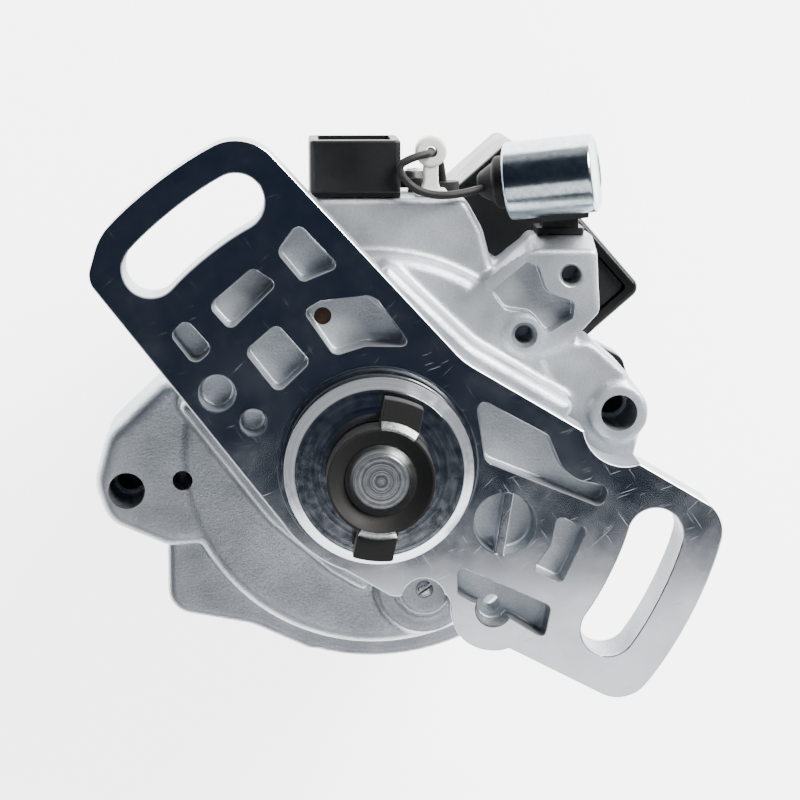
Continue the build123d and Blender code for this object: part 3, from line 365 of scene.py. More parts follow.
def turned_metal(name, colour, groove, low, high, pitch, relief):
    """Lathe-turned metal, lightly worn: feed rings about the shaft axis, their pitch in mm.

    The rings are drawn about three times coarser than real ones, so that they show.
    """
    tree, place = finish(name)
    flat = node(tree, "ShaderNodeVectorMath", {0: place, 1: (1, 1, 0)}, operation="MULTIPLY").outputs[0]
    radius = node(tree, "ShaderNodeVectorMath", {0: flat}, operation="LENGTH").outputs["Value"]
    across = node(tree, "ShaderNodeCombineXYZ", {0: radius}).outputs[0]
    rings = node(tree, "ShaderNodeTexNoise", {"Vector": across, "Scale": 1.0 / (pitch * MM),
                                              "Detail": 2.0}).outputs["Fac"]
    wear = node(tree, "ShaderNodeTexNoise", {"Vector": place, "Scale": 700.0, "Detail": 4.0}).outputs["Fac"]
    tint = node(tree, "ShaderNodeMapRange", {"Value": rings, "From Min": 0.4, "From Max": 0.62,
                                             "To Max": 0.7})
    base = node(tree, "ShaderNodeMix", {0: tint.outputs[0], 6: linear(colour), 7: linear(groove)},
                data_type="RGBA")
    rough = node(tree, "ShaderNodeMapRange", {"Value": wear, "From Min": 0.3, "From Max": 0.7,
                                              "To Min": low, "To Max": high})
    grooves = node(tree, "ShaderNodeBump", {"Height": rings, "Distance": 0.00003, "Strength": relief})
    shader = node(tree, "ShaderNodeBsdfPrincipled", {"Base Color": base.outputs[2], "Metallic": 1.0,
                                                     "Roughness": rough.outputs[0],
                                                     "Normal": grooves.outputs[0]})
    node(tree, "ShaderNodeOutputMaterial", {"Surface": shader.outputs[0]})


def grained(name, light, dark, low, high, grain, depth, sockets):
    """Fine grain of a given size in mm over broad changes of gloss; sockets hold the constants."""
    tree, place = finish(name)
    fine = node(tree, "ShaderNodeTexNoise", {"Vector": place, "Scale": 1.0 / (grain * MM), "Detail": 4.0,
                                             "Roughness": 0.65}).outputs["Fac"]
    broad = node(tree, "ShaderNodeTexNoise", {"Vector": place, "Scale": 120.0, "Detail": 3.0}).outputs["Fac"]
    tint = node(tree, "ShaderNodeMapRange", {"Value": fine, "From Min": 0.3, "From Max": 0.7})
    base = node(tree, "ShaderNodeMix", {0: tint.outputs[0], 6: light, 7: dark}, data_type="RGBA")
    rough = node(tree, "ShaderNodeMapRange", {"Value": broad, "From Min": 0.3, "From Max": 0.7,
                                              "To Min": low, "To Max": high})
    relief = node(tree, "ShaderNodeBump", {"Height": fine, "Distance": depth * MM, "Strength": 0.6})
    shader = node(tree, "ShaderNodeBsdfPrincipled", {"Base Color": base.outputs[2],
                                                     "Roughness": rough.outputs[0],
                                                     "Normal": relief.outputs[0], **sockets})
    node(tree, "ShaderNodeOutputMaterial", {"Surface": shader.outputs[0]})


def cast_finishes(colours):
    """Die-cast aluminium as cast, and the same casting with its top face milled bright."""
    tree, place = finish("cast_aluminium")
    node(tree, "ShaderNodeOutputMaterial", {"Surface": cast_shader(tree, place, colours)})
    tree, place = finish("cast_with_milled_face")
    height = node(tree, "ShaderNodeSeparateXYZ", {0: place}).outputs[2]
    top = node(tree, "ShaderNodeMath", {0: height, 1: -MILLED_DEPTH * MM},
               operation="GREATER_THAN").outputs[0]
    both = node(tree, "ShaderNodeMixShader", {0: top, 1: cast_shader(tree, place, colours),
                                              2: milled_shader(tree, place, colours)})
    node(tree, "ShaderNodeOutputMaterial", {"Surface": both.outputs[0]})


def metal_finishes(colours):
    """Turned, plated, ground, drawn and pressed metals."""
    # Driven shaft, turned steel: dark feed rings round a bright centre.
    turned_metal("turned_steel", "#C4C7CA", "#54585D", 0.2, 0.26, 0.55, 1.0)
    # Spigot and barrel, turned aluminium: bright, its rings hardly showing.
    turned_metal("turned_aluminium", "#D2D6DB", "#A4A9B0", 0.09, 0.16, 0.6, 0.25)
    metal = {"Metallic": 1.0}
    # Phosphated steel of the coupling: dark crystals that hold oil, nearly no shine.
    grained("phosphated_steel", linear("#070708"), linear("#101011"), 0.55, 0.7, 0.3, 0.05,
            {"Metallic": 0.0, "Specular IOR Level": 0.3})
    # Bare steel, turned and rubbed by use: an uneven shine.
    grained("worn_steel", linear("#D0D1D1"), linear("#97999B"), 0.2, 0.36, 0.4, 0.05, metal)
    # Bearing steel, ground and lapped: nearly a mirror.
    grained("bearing_steel", linear("#CDCFD1"), linear("#B4B7BA"), 0.12, 0.2, 0.7, 0.05, metal)
    # Zinc plated on a drawn steel can: slightly blue, with a soft cloudy shine.
    grained("zinc_plating", (*colours.zinc, 1.0), linear("#A4B0B6"), 0.14, 0.24, 1.1, 0.02, metal)
    # Steel of bracket and screws, black with a dull shine; the condenser bracket's black is painted shade,
    # the dark gap under the can.
    grained("black_steel_and_painted_shade", linear("#0E0E0F"), linear("#1E1E1F"), 0.36, 0.5, 0.6, 0.04, {"Metallic": 0.3})
    # Aluminium of the electrodes, stamped: pale and satin.
    grained("electrode_aluminium", linear("#C8CACC"), linear("#A9ACAF"), 0.3, 0.45, 0.7, 0.05, metal)
    # Brass, rolled and stamped: yellow, slightly dull.
    grained("brass", linear("#B9924C"), linear("#8C6A35"), 0.24, 0.4, 0.7, 0.05, metal)
    # Steel plug of the oil gallery, corroded: brown and matt.
    grained("rusted_plug", linear("#46301F"), linear("#24170F"), 0.5, 0.7, 0.45, 0.05, {"Metallic": 0.5})
    # Copper wire in clear lacquer: warm brown with some gloss.
    grained("enamelled_copper", linear("#A7592E"), linear("#7B3E20"), 0.25, 0.4, 0.7, 0.05, {"Metallic": 0.9})
    # Silicon steel sheets of the coil core, punched and stacked: dark, rough edges.
    grained("core_laminations", linear("#5E6063"), linear("#3B3D3F"), 0.4, 0.55, 0.7, 0.05, {"Metallic": 0.9})


def soft_finishes(colours):
    """Rubber, plastics, nylon and carbon."""
    plain = {"Metallic": 0.0, "Specular IOR Level": 0.35}
    # Rubber, moulded, with a chalky bloom: black and matt.
    grained("black_rubber", linear("#060607"), linear("#0F0F10"), 0.5, 0.7, 0.55, 0.06, plain)
    # Glass-filled plastic of the connector, moulded: black, satin, faintly mottled.
    grained("moulded_black_plastic", (*colours.plastic, 1.0), linear("#0F1012"), 0.34, 0.46, 0.4, 0.03, plain)
    # Thermoset of the cap, pressed in a polished mould: black with a smooth, glossier skin.
    grained("cap_plastic", (*colours.plastic, 1.0), linear("#0B0C0D"), 0.22, 0.32, 0.7, 0.02, plain)
    # Carbon of the brush, sintered: dark grey and matt.
    grained("sintered_carbon", linear("#1B1B1C"), linear("#333335"), 0.5, 0.6, 0.5, 0.05, plain)
    # Natural nylon of the clip, moulded: milky, as light passes a few millimetres into it.
    grained("natural_nylon", (*colours.nylon, 1.0), linear("#D5D8D2"), 0.3, 0.42, 1.2, 0.03, {
        "Metallic": 0.0, "Subsurface Weight": 0.45, "Subsurface Radius": (0.003, 0.003, 0.003),
        "Transmission Weight": 0.2})
    # Matt white paper under the object, lit to near white.
    grained("studio_floor", linear("#FFFFFF"), linear("#FBFBFB"), 0.85, 0.9, 16.0, 0.0, {
        "Metallic": 0.0, "Emission Color": (1.0, 1.0, 1.0, 1.0), "Emission Strength": 4.0})


# Flange plate

DRILLED_BOSS_R = 7.5
HUB_R = 19.1


def flange_corners(sizes):
    """Two opposed arms; a corner with the flange's own radius is the arc at an arm's end."""
    r = sizes.flange_radius
    return [(-16.2, -10.1, 0.6), (-48.7, 31.9, 3.5), (-46.6, 39.11, 9), (-37.47, 49.27, r),
            (-21.72, 57.1, 8), (14.7, 17.8, 10), (60.25, -9.27, 6), (55.96, -28.07, r),
            (43.19, -43.06, 6), (22.6, -32.4, 0.5),
            bend(DRILLED_BOSS_R, -68.9, -129.5, DRILLED_AT), bend(DRILLED_BOSS_R, -129.5, -190.1, DRILLED_AT),
            (12.52, -24.08, 0.3), (11.8, -22.6, 1), (2.4, -23.0, 2.4), (-5.58, -18.27, 0.6),
            bend(HUB_R, -107.0, -148.0)]


def clamp_slot(sizes, radius, start, sweep):
    """Arc slot: two long bends about the shaft and a pair of square bends at each end."""
    half = sizes.slot_width / 2
    ends = []
    for angle, side in ((start + sweep, 1), (start, -1)):
        x, y = polar(radius, angle)
        along, out = Vector(polar(half * side, angle + 90)), Vector(polar(half, angle))
        ends.append([(*(Vector((x, y)) + along + out), half), (*(Vector((x, y)) + along - out), half)])
    return [bend(radius + half, start, start + sweep), *ends[0],
            bend(radius - half, start, start + sweep), *reversed(ends[1])]


POCKETS = (
    ((-13.4, 41.7, 1.6), (-6.2, 34.0, 1.2), (-12.7, 31.3, 1.2), (-17.0, 36.5, 1.6)),
    ((-28.6, 27.6, 1.6), (-21.0, 34.1, 1.4), (-16.7, 31.2, 1.2), (-24.8, 23.2, 1.4)),
    ((-35.0, 22.7, 1.4), (-32.3, 25.6, 1.6), (-27.6, 20.2, 1.6), (-30.9, 17.3, 1.6)),
    ((-22.6, 19.8, 1.5), (-17.0, 24.6, 1.4), (-11.2, 17.9, 1.4), (-16.9, 12.4, 1.5)),
    ((-12.6, 26.5, 1.2), (-9.8, 28.3, 1.6), (-0.6, 29.3, 2.6), (6.0, 20.3, 1.2), (-2.0, 20.5, 3),
     (-7.4, 18.8, 1.6)),
    ((16.4, 12.0, 1.6), (29.2, 5.0, 2), (32.2, -2.4, 6), (39.8, -4.0, 1.5), (38.6, -7.9, 1.6),
     (18.2, 0.4, 2)),
    ((30.6, -8.8, 1.2), (36.2, -11.4, 1.2), (31.6, -21.2, 1.2), (26.4, -18.6, 1), (29.6, -14.2, 3)),
    ((13.6, -17.5, 1.2), (30.0, -24.9, 1.4), (28.8, -31.0, 1.2), (23.0, -27.4, 1), (16.0, -24.2, 1),
     (13.6, -22.8, 1)),
)
CLAMP_SLOTS = ((50.8, 117.8, 20.6), (49.4, -36.3, 21.4))
FLANGE_NOTCHES = ((RIGHT_EAR[0] - 0.4, RIGHT_EAR[1] + 0.2, 7.3), (7.8, -23.6, 3.7))
ROUND_POCKETS = ((-27.2, 12.6, 3.15), (-21.1, 7.6, 2.3), (*DRILLED_AT, 3.1), (21.7, -10.4, 5.4))
BARRED_POCKET = ROUND_POCKETS[3]
BAR_TURN = -9.0


def round_sink(bm, x, y, r, depth):
    """Round cutter with a broken mouth and a rounded floor."""
    turned(bm, [(0, 1, 0), (r + 0.15, 1, 0), (r + 0.15, 0, 0), (r, -0.2, 0), (r - 0.3, -depth, 0.6),
                (0, -depth, 0)], at(x, y), 48)


def build_flange(sizes):
    """Plate with its slots, notches, pockets and drilled holes."""
    depth = sizes.pocket_depth
    through = -sizes.flange_thickness - 1.0
    seat = BARREL_SEAT_R
    plate = bmesh.new()
    slab(plate, flange_corners(sizes), -sizes.flange_thickness, 0.0, 0.28, 0.4)
    piece = add("flange_plate", plate, "cast_with_milled_face", replaces=("housing",), sharp=40)
    cuts = bmesh.new()
    turned(cuts, [(0, 1, 0), (seat + 0.15, 1, 0), (seat + 0.15, 0, 0), (seat, -0.15, 0), (seat, through, 0),
                  (0, through, 0)], steps=128)
    for x, y, r in FLANGE_NOTCHES:
        turned(cuts, [(0, 1, 0), (r + 0.2, 1, 0), (r + 0.2, 0, 0), (r, -0.25, 0), (r, through, 0),
                      (0, through, 0)], at(x, y), 64)
    for slot in CLAMP_SLOTS:
        sink(cuts, clamp_slot(sizes, *slot), -through, 0.12, 0.1, 0.22)
    disc(cuts, *DRILLED_AT, 1.5, through, 1)
    disc(cuts, *PLUG_AT, 1.5, -depth - 0.7, 1)
    carve(piece, cuts, sharp=40)
    cuts = bmesh.new()
    for corners in POCKETS:
        sink(cuts, corners, depth)
    carve(piece, cuts, sharp=40)
    cuts = bmesh.new()
    for x, y, r in ROUND_POCKETS:
        round_sink(cuts, x, y, r, depth)
    carve(piece, cuts, sharp=40)
    bar = bmesh.new()
    slab(bar, [(-0.85, -5.7, 0), (0.85, -5.7, 0), (0.85, 5.7, 0), (-0.85, 5.7, 0)], -depth - 0.4, -0.2, 0.25,
         place=at(*BARRED_POCKET[:2], 0, BAR_TURN))
    carve(piece, bar, "UNION", 40)


# Castings

def build_spigot(sizes):
    """Register that enters the engine, turned in one with the bearing barrel, and its seal ring."""
    r = sizes.spigot_radius
    seat = BARREL_SEAT_R + 0.02
    bm = bmesh.new()
    turned(bm, [(7.0, 6.9, 0.3), (r - 1.8, 6.9, 0.1), (r, 5.2, 0.12), (r, 3.85, 0.1), (r - 2.05, 3.85, 0),
                (r - 2.05, 1.35, 0), (r, 1.35, 0.1), (r, -0.8, 0), (seat, -0.8, 0), (seat, -12.0, 0),
                (18.6, -12.0, 0), (18.6, -26.0, 0.3), (14.0, -26.0, 0.3), (14.0, -1.6, 0), (11.0, -1.6, 0),
                (11.0, 4.5, 0), (7.0, 4.5, 0)], steps=160)
    add("spigot_and_barrel", bm, "turned_aluminium", sharp=30)
    bm = bmesh.new()
    bmesh.ops.create_circle(bm, cap_ends=False, segments=18, radius=1.05,
                            matrix=Matrix.Translation((r - 0.97, 0, 2.6)) @ STANDING)
    bmesh.ops.spin(bm, geom=bm.verts[:] + bm.edges[:], cent=(0, 0, 0), axis=(0, 0, 1), angle=2 * pi,
                   steps=128, use_merge=True)
    bmesh.ops.remove_doubles(bm, verts=bm.verts, dist=0.002)
    add("spigot_seal_ring", bm, "black_rubber", replaces=("spigot_o_ring",))


LEFT_EAR_CORNERS = ((-29.8, 14.1, 2), (-37.1, 12.7, 2.4), (-46.9, 3.3, 5), (-49.3, -5.6, 6),
                    (-46.8, -12.4, 5), (-36.3, -17.0, 4), (-27.8, -16.4, 2.4))
RIGHT_EAR_CORNERS = ((27.3, 19.0, 1), (37.9, 19.2, 3), (44.6, 13.3, 4), (47.1, 5.3, 6), (45.2, -3.6, 5),
                     (35.2, -10.5, 3), (27.3, -8.5, 1))
LOWER_LOBE = ((-30.0, -12.0, 2), (-36.9, -17.0, 2), (-36.9, -30.2, 4.5), (-22.0, -33.0, 6), (-8.0, -39.4, 3),
              (-8.0, -28.0, 2))
CONNECTOR_LOBE = ((-10.6, 20.0, 1), (-10.6, LOBE_TOP_Y, 1.2), (15.8, LOBE_TOP_Y, 2.5), (19.0, 38.5, 6),
                  (20.8, 31.5, 2), (14.0, 20.0, 1))
UPPER_NECK = ((1.9, 34.2, 1.5), (16.5, 20.0, 9), (34.6, 9.2, 1.5), (30.0, 3.0, 1), (10.0, 14.0, 4),
              (-4.0, 29.0, 1))
LOWER_NECK = ((-34.6, 9.0, 1.5), (-18.6, -11.7, 9), (-8.0, -20.8, 5), (-1.0, -25.0, 1.5), (-1.0, -18.0, 1),
              (-14.0, -6.0, 4), (-30.0, 12.0, 1))
WEB_POCKET = ((20.2, 28.2, 0.8), (26.4, 33.4, 0.9), (28.4, 32.6, 0.8), (30.0, 28.0, 2), (34.8, 26.2, 0.8),
              (34.6, 23.4, 1.0), (30.0, 20.7, 1.0), (27.2, 24.2, 2.4), (22.6, 24.9, 2))


def bracket_web(bm):
    """Cast web for the condenser, its top face sloping back from the front edge."""
    web = bmesh.new()
    slab(web, [(15.0, 27.0, 1), (26.6, 36.2, 2), (27.4, WEB_TOP_Y, 0.8), (38.6, WEB_TOP_Y, 0.8),
               (39.2, 24.4, 1.6), (34.4, 19.2, 2), (22.0, 14.0, 1)], -27.0, PLATEAU_Z + 0.3, 0.4)
    bmesh.ops.bisect_plane(web, geom=web.verts[:] + web.edges[:] + web.faces[:], plane_co=(0, 0, -19.0),
                           plane_no=(0, 0, 1))
    front = [v for v in web.verts if v.co.z > -14 and v.co.y > 36.0]
    bmesh.ops.translate(web, verts=front, vec=(0, -2.0, 0))
    join(bm, web)


def casting_shells(bm):
    """Overlapping closed shells of the cast body, fused afterwards."""
    turned(bm, [(0, -10.5, 0), (15.0, -10.5, 0), (15.0, -12.0, 0), (BOWL_R - 0.2, PLATEAU_Z, 2.6),
                (BOWL_R, RIM_Z, 0.4), (RIM_R, RIM_Z, 1.0), (RIM_R, PARTING_Z, 0.3), (0, PARTING_Z, 0)],
           steps=160)
    slab(bm, LEFT_EAR_CORNERS, RIM_Z - 10.0, EAR_Z, 2.2, 0.6)
    slab(bm, RIGHT_EAR_CORNERS, RIM_Z - 10.0, EAR_Z, 0.9, 0.6)
    slab(bm, LOWER_LOBE, PARTING_Z, RIM_Z, 1.2)
    for x, y in (LEFT_EAR, RIGHT_EAR):
        disc(bm, x, y, 5.4, PARTING_Z, RIM_Z - 1.0, 0.4)
    disc(bm, *RIGHT_EAR, 5.2, -20.0, EAR_Z + 0.7, 0.4)
    slab(bm, CONNECTOR_LOBE, PARTING_Z, -15.5, 1.1)
    bracket_web(bm)
    disc(bm, *BRACKET_HOLES[1], 3.6, -22.5, PLATEAU_Z + 0.6, 0.5)
    disc(bm, *PIN_XY, 8.5, -16.0, -11.3, 0.6)
    disc(bm, *PIN_XY, 4.8, -14.0, -9.6, 0.5)
    slab(bm, UPPER_NECK, PLATEAU_Z - 1.0, -4.5, 1.9)
    slab(bm, LOWER_NECK, PLATEAU_Z - 1.0, -7.5, 1.9)


def bowl_cutters(bm):
    """Room inside the bowl, the throat into the connector lobe and the web pocket."""
    seat = BARREL_SEAT_R
    turned(bm, [(0, -9, 0), (seat, -9, 0), (seat, -12.1, 0), (18.7, -12.1, 0), (18.7, -16, 0),
                (31.5, -16, 1.5), (31.5, -23, 0), (CAP_INNER_R, -26, 0), (CAP_INNER_R, -35, 0),
                (0, -35, 0)], steps=128)
    slab(bm, [(-7.6, 24.0, 1), (-7.6, 41.3, 1), (14.0, 41.3, 1.5), (17.2, 31.0, 2), (13.0, 24.0, 1)],
         -35.0, -18.5, 0.3)
    hollow = bmesh.new()
    sink(hollow, WEB_POCKET, 3.4, 0.1, 0.2, 0.08)
    join(bm, hollow, at(0, 0, PLATEAU_Z + 0.3))


def casting_drillings(bm):
    """Ear, vent, body screw and bracket holes."""
    for x, y in (LEFT_EAR, RIGHT_EAR):
        disc(bm, x, y, EAR_BORE_R, -26.0, EAR_Z + 2)
        disc(bm, x, y, CAP_SCREW_R, -35.0, -25.0)
    disc(bm, *LOBE_BOSS, CAP_SCREW_R, -35.0, -24.0)
    disc(bm, *VENT_AT, 1.75, -25.0, PLATEAU_Z + 1)
    disc(bm, *PIN_XY, 1.55, -15.5, -9.0)
    for x, y in BRACKET_HOLES:
        turned(bm, [(0, -10, 0), (2.3, -10, 0), (2.3, -12.0, 0), (1.65, -12.7, 0), (1.65, -21.5, 0),
                    (0, -21.5, 0)], at(x, y), 40)


def build_casting(sizes):
    """Bowl, rim, ears, lobes and web as one soft-edged casting, then its machined holes."""
    bm = bmesh.new()
    casting_shells(bm)
    piece = add("bowl_casting", bm, "cast_aluminium", sharp=180)
    piece.modifiers.clear()
    fuse = piece.modifiers.new("fuse", "REMESH")
    fuse.mode = "VOXEL"
    fuse.voxel_size = sizes.casting_grain * MM
    fuse.use_smooth_shade = True
    soften = piece.modifiers.new("soften", "SMOOTH")
    soften.factor = 0.5
    soften.iterations = 3
    settle(piece, 180)
    for cutters in (bowl_cutters, casting_drillings):
        cuts = bmesh.new()
        cutters(cuts)
        carve(piece, cuts, sharp=48)
    piece.data.materials.clear()
    piece.data.materials.append(materials["cast_aluminium"])
    posts = bmesh.new()
    for angle in POST_ANGLES:
        disc(posts, *polar(POST_PITCH_R, angle), 3.2, -23.8, -15.5)
    add("plate_posts", posts, "cast_aluminium")


# Shaft end

def build_shaft(sizes):
    """Driven shaft with a broken edge at its end and a step for the rotor."""
    r = sizes.shaft_radius
    bm = bmesh.new()
    turned(bm, [(0, 14.3, 0), (r - 1.5, 14.3, 0.1), (r, 12.8, 0.2), (r, -24.4, 0.05), (r - 0.5, -24.4, 0),
                (r - 0.5, -25.4, 0), (r, -25.4, 0.05), (r, -26.6, 0.1), (5, -26.6, 0), (5, -36.4, 0.1),
                (4, -37.2, 0.1), (4, -46.2, 0.3), (0, -46.2, 0)], steps=128)
    add("shaft_turned", bm, "turned_steel", "shaft", ("shaft",), 25)


def build_coupling(sizes):
    """Hub and two offset lugs, dark all over, with a bright worn band inside each lug."""
    bm = bmesh.new()
    turned(bm, [(sizes.shaft_radius + 0.02, 7.9, 0), (9, 7.9, 0.2), (9, 14.2, 0.15), (8.5, 14.2, 0.1),
                (6.5, 12.9, 0.1), (sizes.shaft_radius + 0.02, 12.6, 0)], steps=112)
    out = 13.7
    for side in (1, -1):
        low, high = -2.0, 4.6
        angles = [side * degrees(atan2(sqrt(out * out - x * x), x)) for x in (high, low)]
        corners = [(high, side * 7.6, 0), (high, side * sqrt(out * out - high * high), 0.25),
                   bend(out, *angles), (low, side * sqrt(out * out - low * low), 0.25), (low, side * 7.6, 0)]
        slab(bm, corners, 9.4, 13.2, 0.18, 0.18)
    bmesh.ops.rotate(bm, verts=bm.verts, matrix=Matrix.Rotation(radians(LUG_TILT), 3, "Z"))
    add("coupling_phosphated", bm, "phosphated_steel", "shaft", ("drive_coupling",), 30)
    bm = bmesh.new()
    worn_sweep = 38.0
    for middle in (82.0, -82.0):
        turned(bm, [(8.6, 12.6, 0), (10.0, 13.22, 0), (9.0, 14.24, 0), (8.6, 14.24, 0)],
               at(0, 0, 0, middle - worn_sweep / 2 + LUG_TILT), 16, worn_sweep)
    add("coupling_worn_band", bm, "worn_steel", "shaft", sharp=30)


# Condenser, lead, clip and connector

def can_place():
    """Condenser axis: along +X, tilted up and turned towards the viewer."""
    place = Matrix.Translation((30.8, 47.8, -14.5)) @ Matrix.Rotation(radians(7), 4, "Z")
    return place @ Matrix.Rotation(radians(-14), 4, "Y") @ Matrix.Rotation(radians(90), 4, "Y")


def build_condenser():
    """Smooth drawn can with a rolled rim at each end, and its rubber boot."""
    r, h = CAN_R, CAN_HALF
    bm = bmesh.new()
    turned(bm, [(0, h - 0.3, 0), (r - 1.3, h - 0.3, 0.2), (r - 1.0, h, 0.2), (r, h, 0.7), (r, -h, 0.5),
                (r - 0.8, -h, 0.2), (r - 1.1, -h + 0.8, 0), (0, -h + 0.8, 0)], can_place(), 112)
    add("condenser_drawn_can", bm, "zinc_plating", replaces=("condenser_can",), sharp=30)
    bm = bmesh.new()
    turned(bm, [(0, -h + 0.8, 0), (4.6, -h + 0.8, 0), (4.6, -h - 1.9, 0.6), (3.6, -h - 2.4, 0.5),
                (2.1, -h - 4.8, 0.6), (1.6, -h - 5.2, 0.2), (0, -h - 5.2, 0)], can_place(), 56)
    add("condenser_rubber_boot", bm, "black_rubber", replaces=("condenser_boot",), sharp=40)


def build_bracket():
    """Saddle behind the can, its riser and its foot on the web; its black is painted shade under the can."""
    bm = bmesh.new()
    turned(bm, [(CAN_R + 0.05, -2.6, 0), (CAN_R + 1.2, -2.6, 0.2), (CAN_R + 1.2, 5.4, 0.2),
                (CAN_R + 0.05, 5.4, 0)], can_place() @ at(0, 0, 0, -80), 24, 110)
    slab(bm, [(29.6, 37.6, 0.2), (36.0, 37.6, 0.2), (36.0, 42.6, 0.6), (29.6, 42.6, 0.6)],
         -19.6, -18.4, 0.2, 0.2)
    slab(bm, [(28.6, -26.8, 1.6), (37.0, -26.8, 1.6), (37.0, -18.2, 0.6), (28.6, -18.2, 0.6)],
         -WEB_TOP_Y - 1.2, -WEB_TOP_Y, 0.2, 0.2, STANDING)
    # Black here is painted shade between can and web.
    add("condenser_saddle", bm, "black_steel_and_painted_shade", replaces=("condenser_bracket",), sharp=40)


def build_lead(sizes):
    """Lead on one smooth line: boot, loop before the connector, clip and grommet."""
    start = can_place() @ Vector((0, 0, -CAN_HALF - 1.6))
    route = [start, (15.6, 44.7, -13.3), (7.6, 44.9, -12.8), (3.4, 49.6, -12.7), (6.6, 51.4, -12.8),
             (10.0, 52.0, -14.4), (10.0, 52.0, -22.6), (12.8, 49.6, -27.4), (12.8, 40.9, -27.4)]
    curve = bpy.data.curves.new("condenser_lead_wire", "CURVE")
    curve.dimensions = "3D"
    curve.bevel_depth = sizes.lead_radius * MM
    curve.bevel_resolution = 5
    curve.resolution_u = 10
    curve.use_fill_caps = True
    spline = curve.splines.new("NURBS")
    spline.points.add(len(route) - 1)
    for point, (x, y, z) in zip(spline.points, route):
        point.co = (x * MM, y * MM, z * MM, 1.0)
    spline.order_u = 3
    spline.use_endpoint_u = True
    curve.materials.append(materials["black_rubber"])
    lead = in_scene("condenser_lead_wire", curve)
    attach(lead, "housing")
    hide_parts("condenser_lead")


def build_clip():
    """Natural nylon clip with a waisted stem, a foot, a barbed pin and a round eye."""
    bm = bmesh.new()
    slab(bm, [(8.0, 44.3, 0.3), (12.0, 44.3, 0.3), (11.2, 47.0, 2), (11.4, 51.0, 1), (8.6, 51.0, 1),
              (8.8, 47.0, 2)], -20.6, -17.4, 0.4, 0.4)
    slab(bm, [(7.2, 44.3, 0.3), (12.8, 44.3, 0.3), (12.8, 45.5, 0.5), (7.2, 45.5, 0.5)],
         -21.6, -16.4, 0.4, 0.4)
    turned(bm, [(1.0, -2.2, 0.2), (2.7, -2.2, 0.6), (2.7, 2.2, 0.6), (1.0, 2.2, 0.2)], at(*CLIP_AT), 48)
    pin = Matrix.Translation((CLIP_AT[0], 42.3, CLIP_AT[2])) @ STANDING
    turned(bm, [(0, -2.2, 0), (1.2, -2.2, 0.1), (1.2, 1.4, 0.1), (0.7, 2.5, 0.1), (0, 2.5, 0)], pin, 32)
    add("lead_clip_nylon", bm, "natural_nylon", replaces=("lead_clip",), sharp=45)


def build_connector():
    """Plain open socket with a screw foot."""
    base = LOBE_TOP_Y + 0.8
    bm = bmesh.new()
    slab(bm, [(-11.2, -29.5, 1.0), (4.6, -29.5, 1.0), (4.6, -14.5, 1.0), (-11.2, -14.5, 1.0)],
         -54.2, -base, 0.3, 0.5, STANDING)
    slab(bm, [(-10.2, -29.8, 0.8), (9.3, -29.8, 0.8), (9.3, -24.8, 0.8), (-10.2, -24.8, 0.8)],
         -base - 1.8, -base, 0.2, 0.3, STANDING)
    piece = add("connector_shell", bm, "moulded_black_plastic", replaces=("connector_housing",), sharp=35)
    socket = bmesh.new()
    slab(socket, [(-9.6, -27.9, 0.6), (3.0, -27.9, 0.6), (3.0, -16.1, 0.6), (-9.6, -16.1, 0.6)],
         -56.0, -base - 2.2, 0.2, 0.0, STANDING)
    carve(piece, socket)


# Cap

CAP_LEFT_EAR = ((-31.8, 9.1, 1), (-39.2, 8.4, 1), (-40.9, 6.9, 0.8), (-41.3, 3.7, 0.6), (-47.9, -2.8, 4),
                (-49.9, -9.25, 5), (-47.6, -15.7, 4), (-38.0, -20.4, 3), (-27.9, -16.4, 1))
CAP_RIGHT_EAR = ((28.4, 13.7, 1), (41.7, 15.6, 2.5), (46.2, 13.2, 3), (47.9, 7.4, 4), (48.3, 2.35, 4),
                 (46.2, -3.9, 4), (34.7, -7.8, 2))
CAP_LOBE_EAR = ((-30.0, -12.0, 2), (-36.7, -17.0, 2), (-36.7, -30.0, 4.5), (-22.1, -32.8, 4),
                (-14.0, -28.0, 2))
LOBE_COVER = ((-10.4, 24.0, 1), (-10.4, 44.1, 1.2), (15.6, 44.1, 2.5), (18.8, 38.4, 6), (20.5, 31.5, 2),
              (14.0, 24.0, 1))
COIL_CASE = ((24.0, -13.4, 0.5), (54.4, -13.4, 2), (54.4, 23.2, 2), (24.0, 23.2, 0.5))
COIL_ROOM = ((37.0, -11.4, 0.6), (52.4, -11.4, 0.8), (52.4, 21.2, 0.8), (37.0, 21.2, 0.6))


def cap_shells(bm):
    """Dome, ears, coil case, towers with collars and the grip ribs, as overlapping solids."""
    turned(bm, [(0, PARTING_Z, 0), (CAP_R, PARTING_Z, 0.3), (CAP_R, -55.0, 4), (36.0, -62.0, 2),
                (33.4, CAP_ROOF_Z, 1), (0, CAP_ROOF_Z, 0)], steps=144)
    for corners in (CAP_LEFT_EAR, CAP_RIGHT_EAR, CAP_LOBE_EAR):
        slab(bm, corners, PARTING_Z - 7.0, PARTING_Z - 0.02, 0.3, 0.5)
    slab(bm, LOBE_COVER, PARTING_Z - 2.6, PARTING_Z - 0.04, 0.3, 0.4)
    slab(bm, COIL_CASE, CAP_ROOF_Z, PARTING_Z - 0.4, 0.9, 0.8, at(0, 0, 0, COIL_ANGLE))
    for angle in TOWER_ANGLES:
        turned(bm, [(0, -63.0, 0), (8.5, -63.0, 0), (8.5, -66.2, 0.6), (7.55, -66.4, 0.4), (7.0, -80.0, 0.8),
                    (0, -80.0, 0)], at(*polar(TOWER_PITCH_R, angle)), 64)
    for k in range(12):
        turn = 10 + k * 30
        if not 0 < turn % 360 < 80:
            slab(bm, [(36.6, -0.9, 0.2), (39.4, -0.9, 0.4), (39.4, 0.9, 0.4), (36.6, 0.9, 0.2)],
                 -56.0, PARTING_Z - 6.5, 0.3, 0.3, at(0, 0, 0, turn))


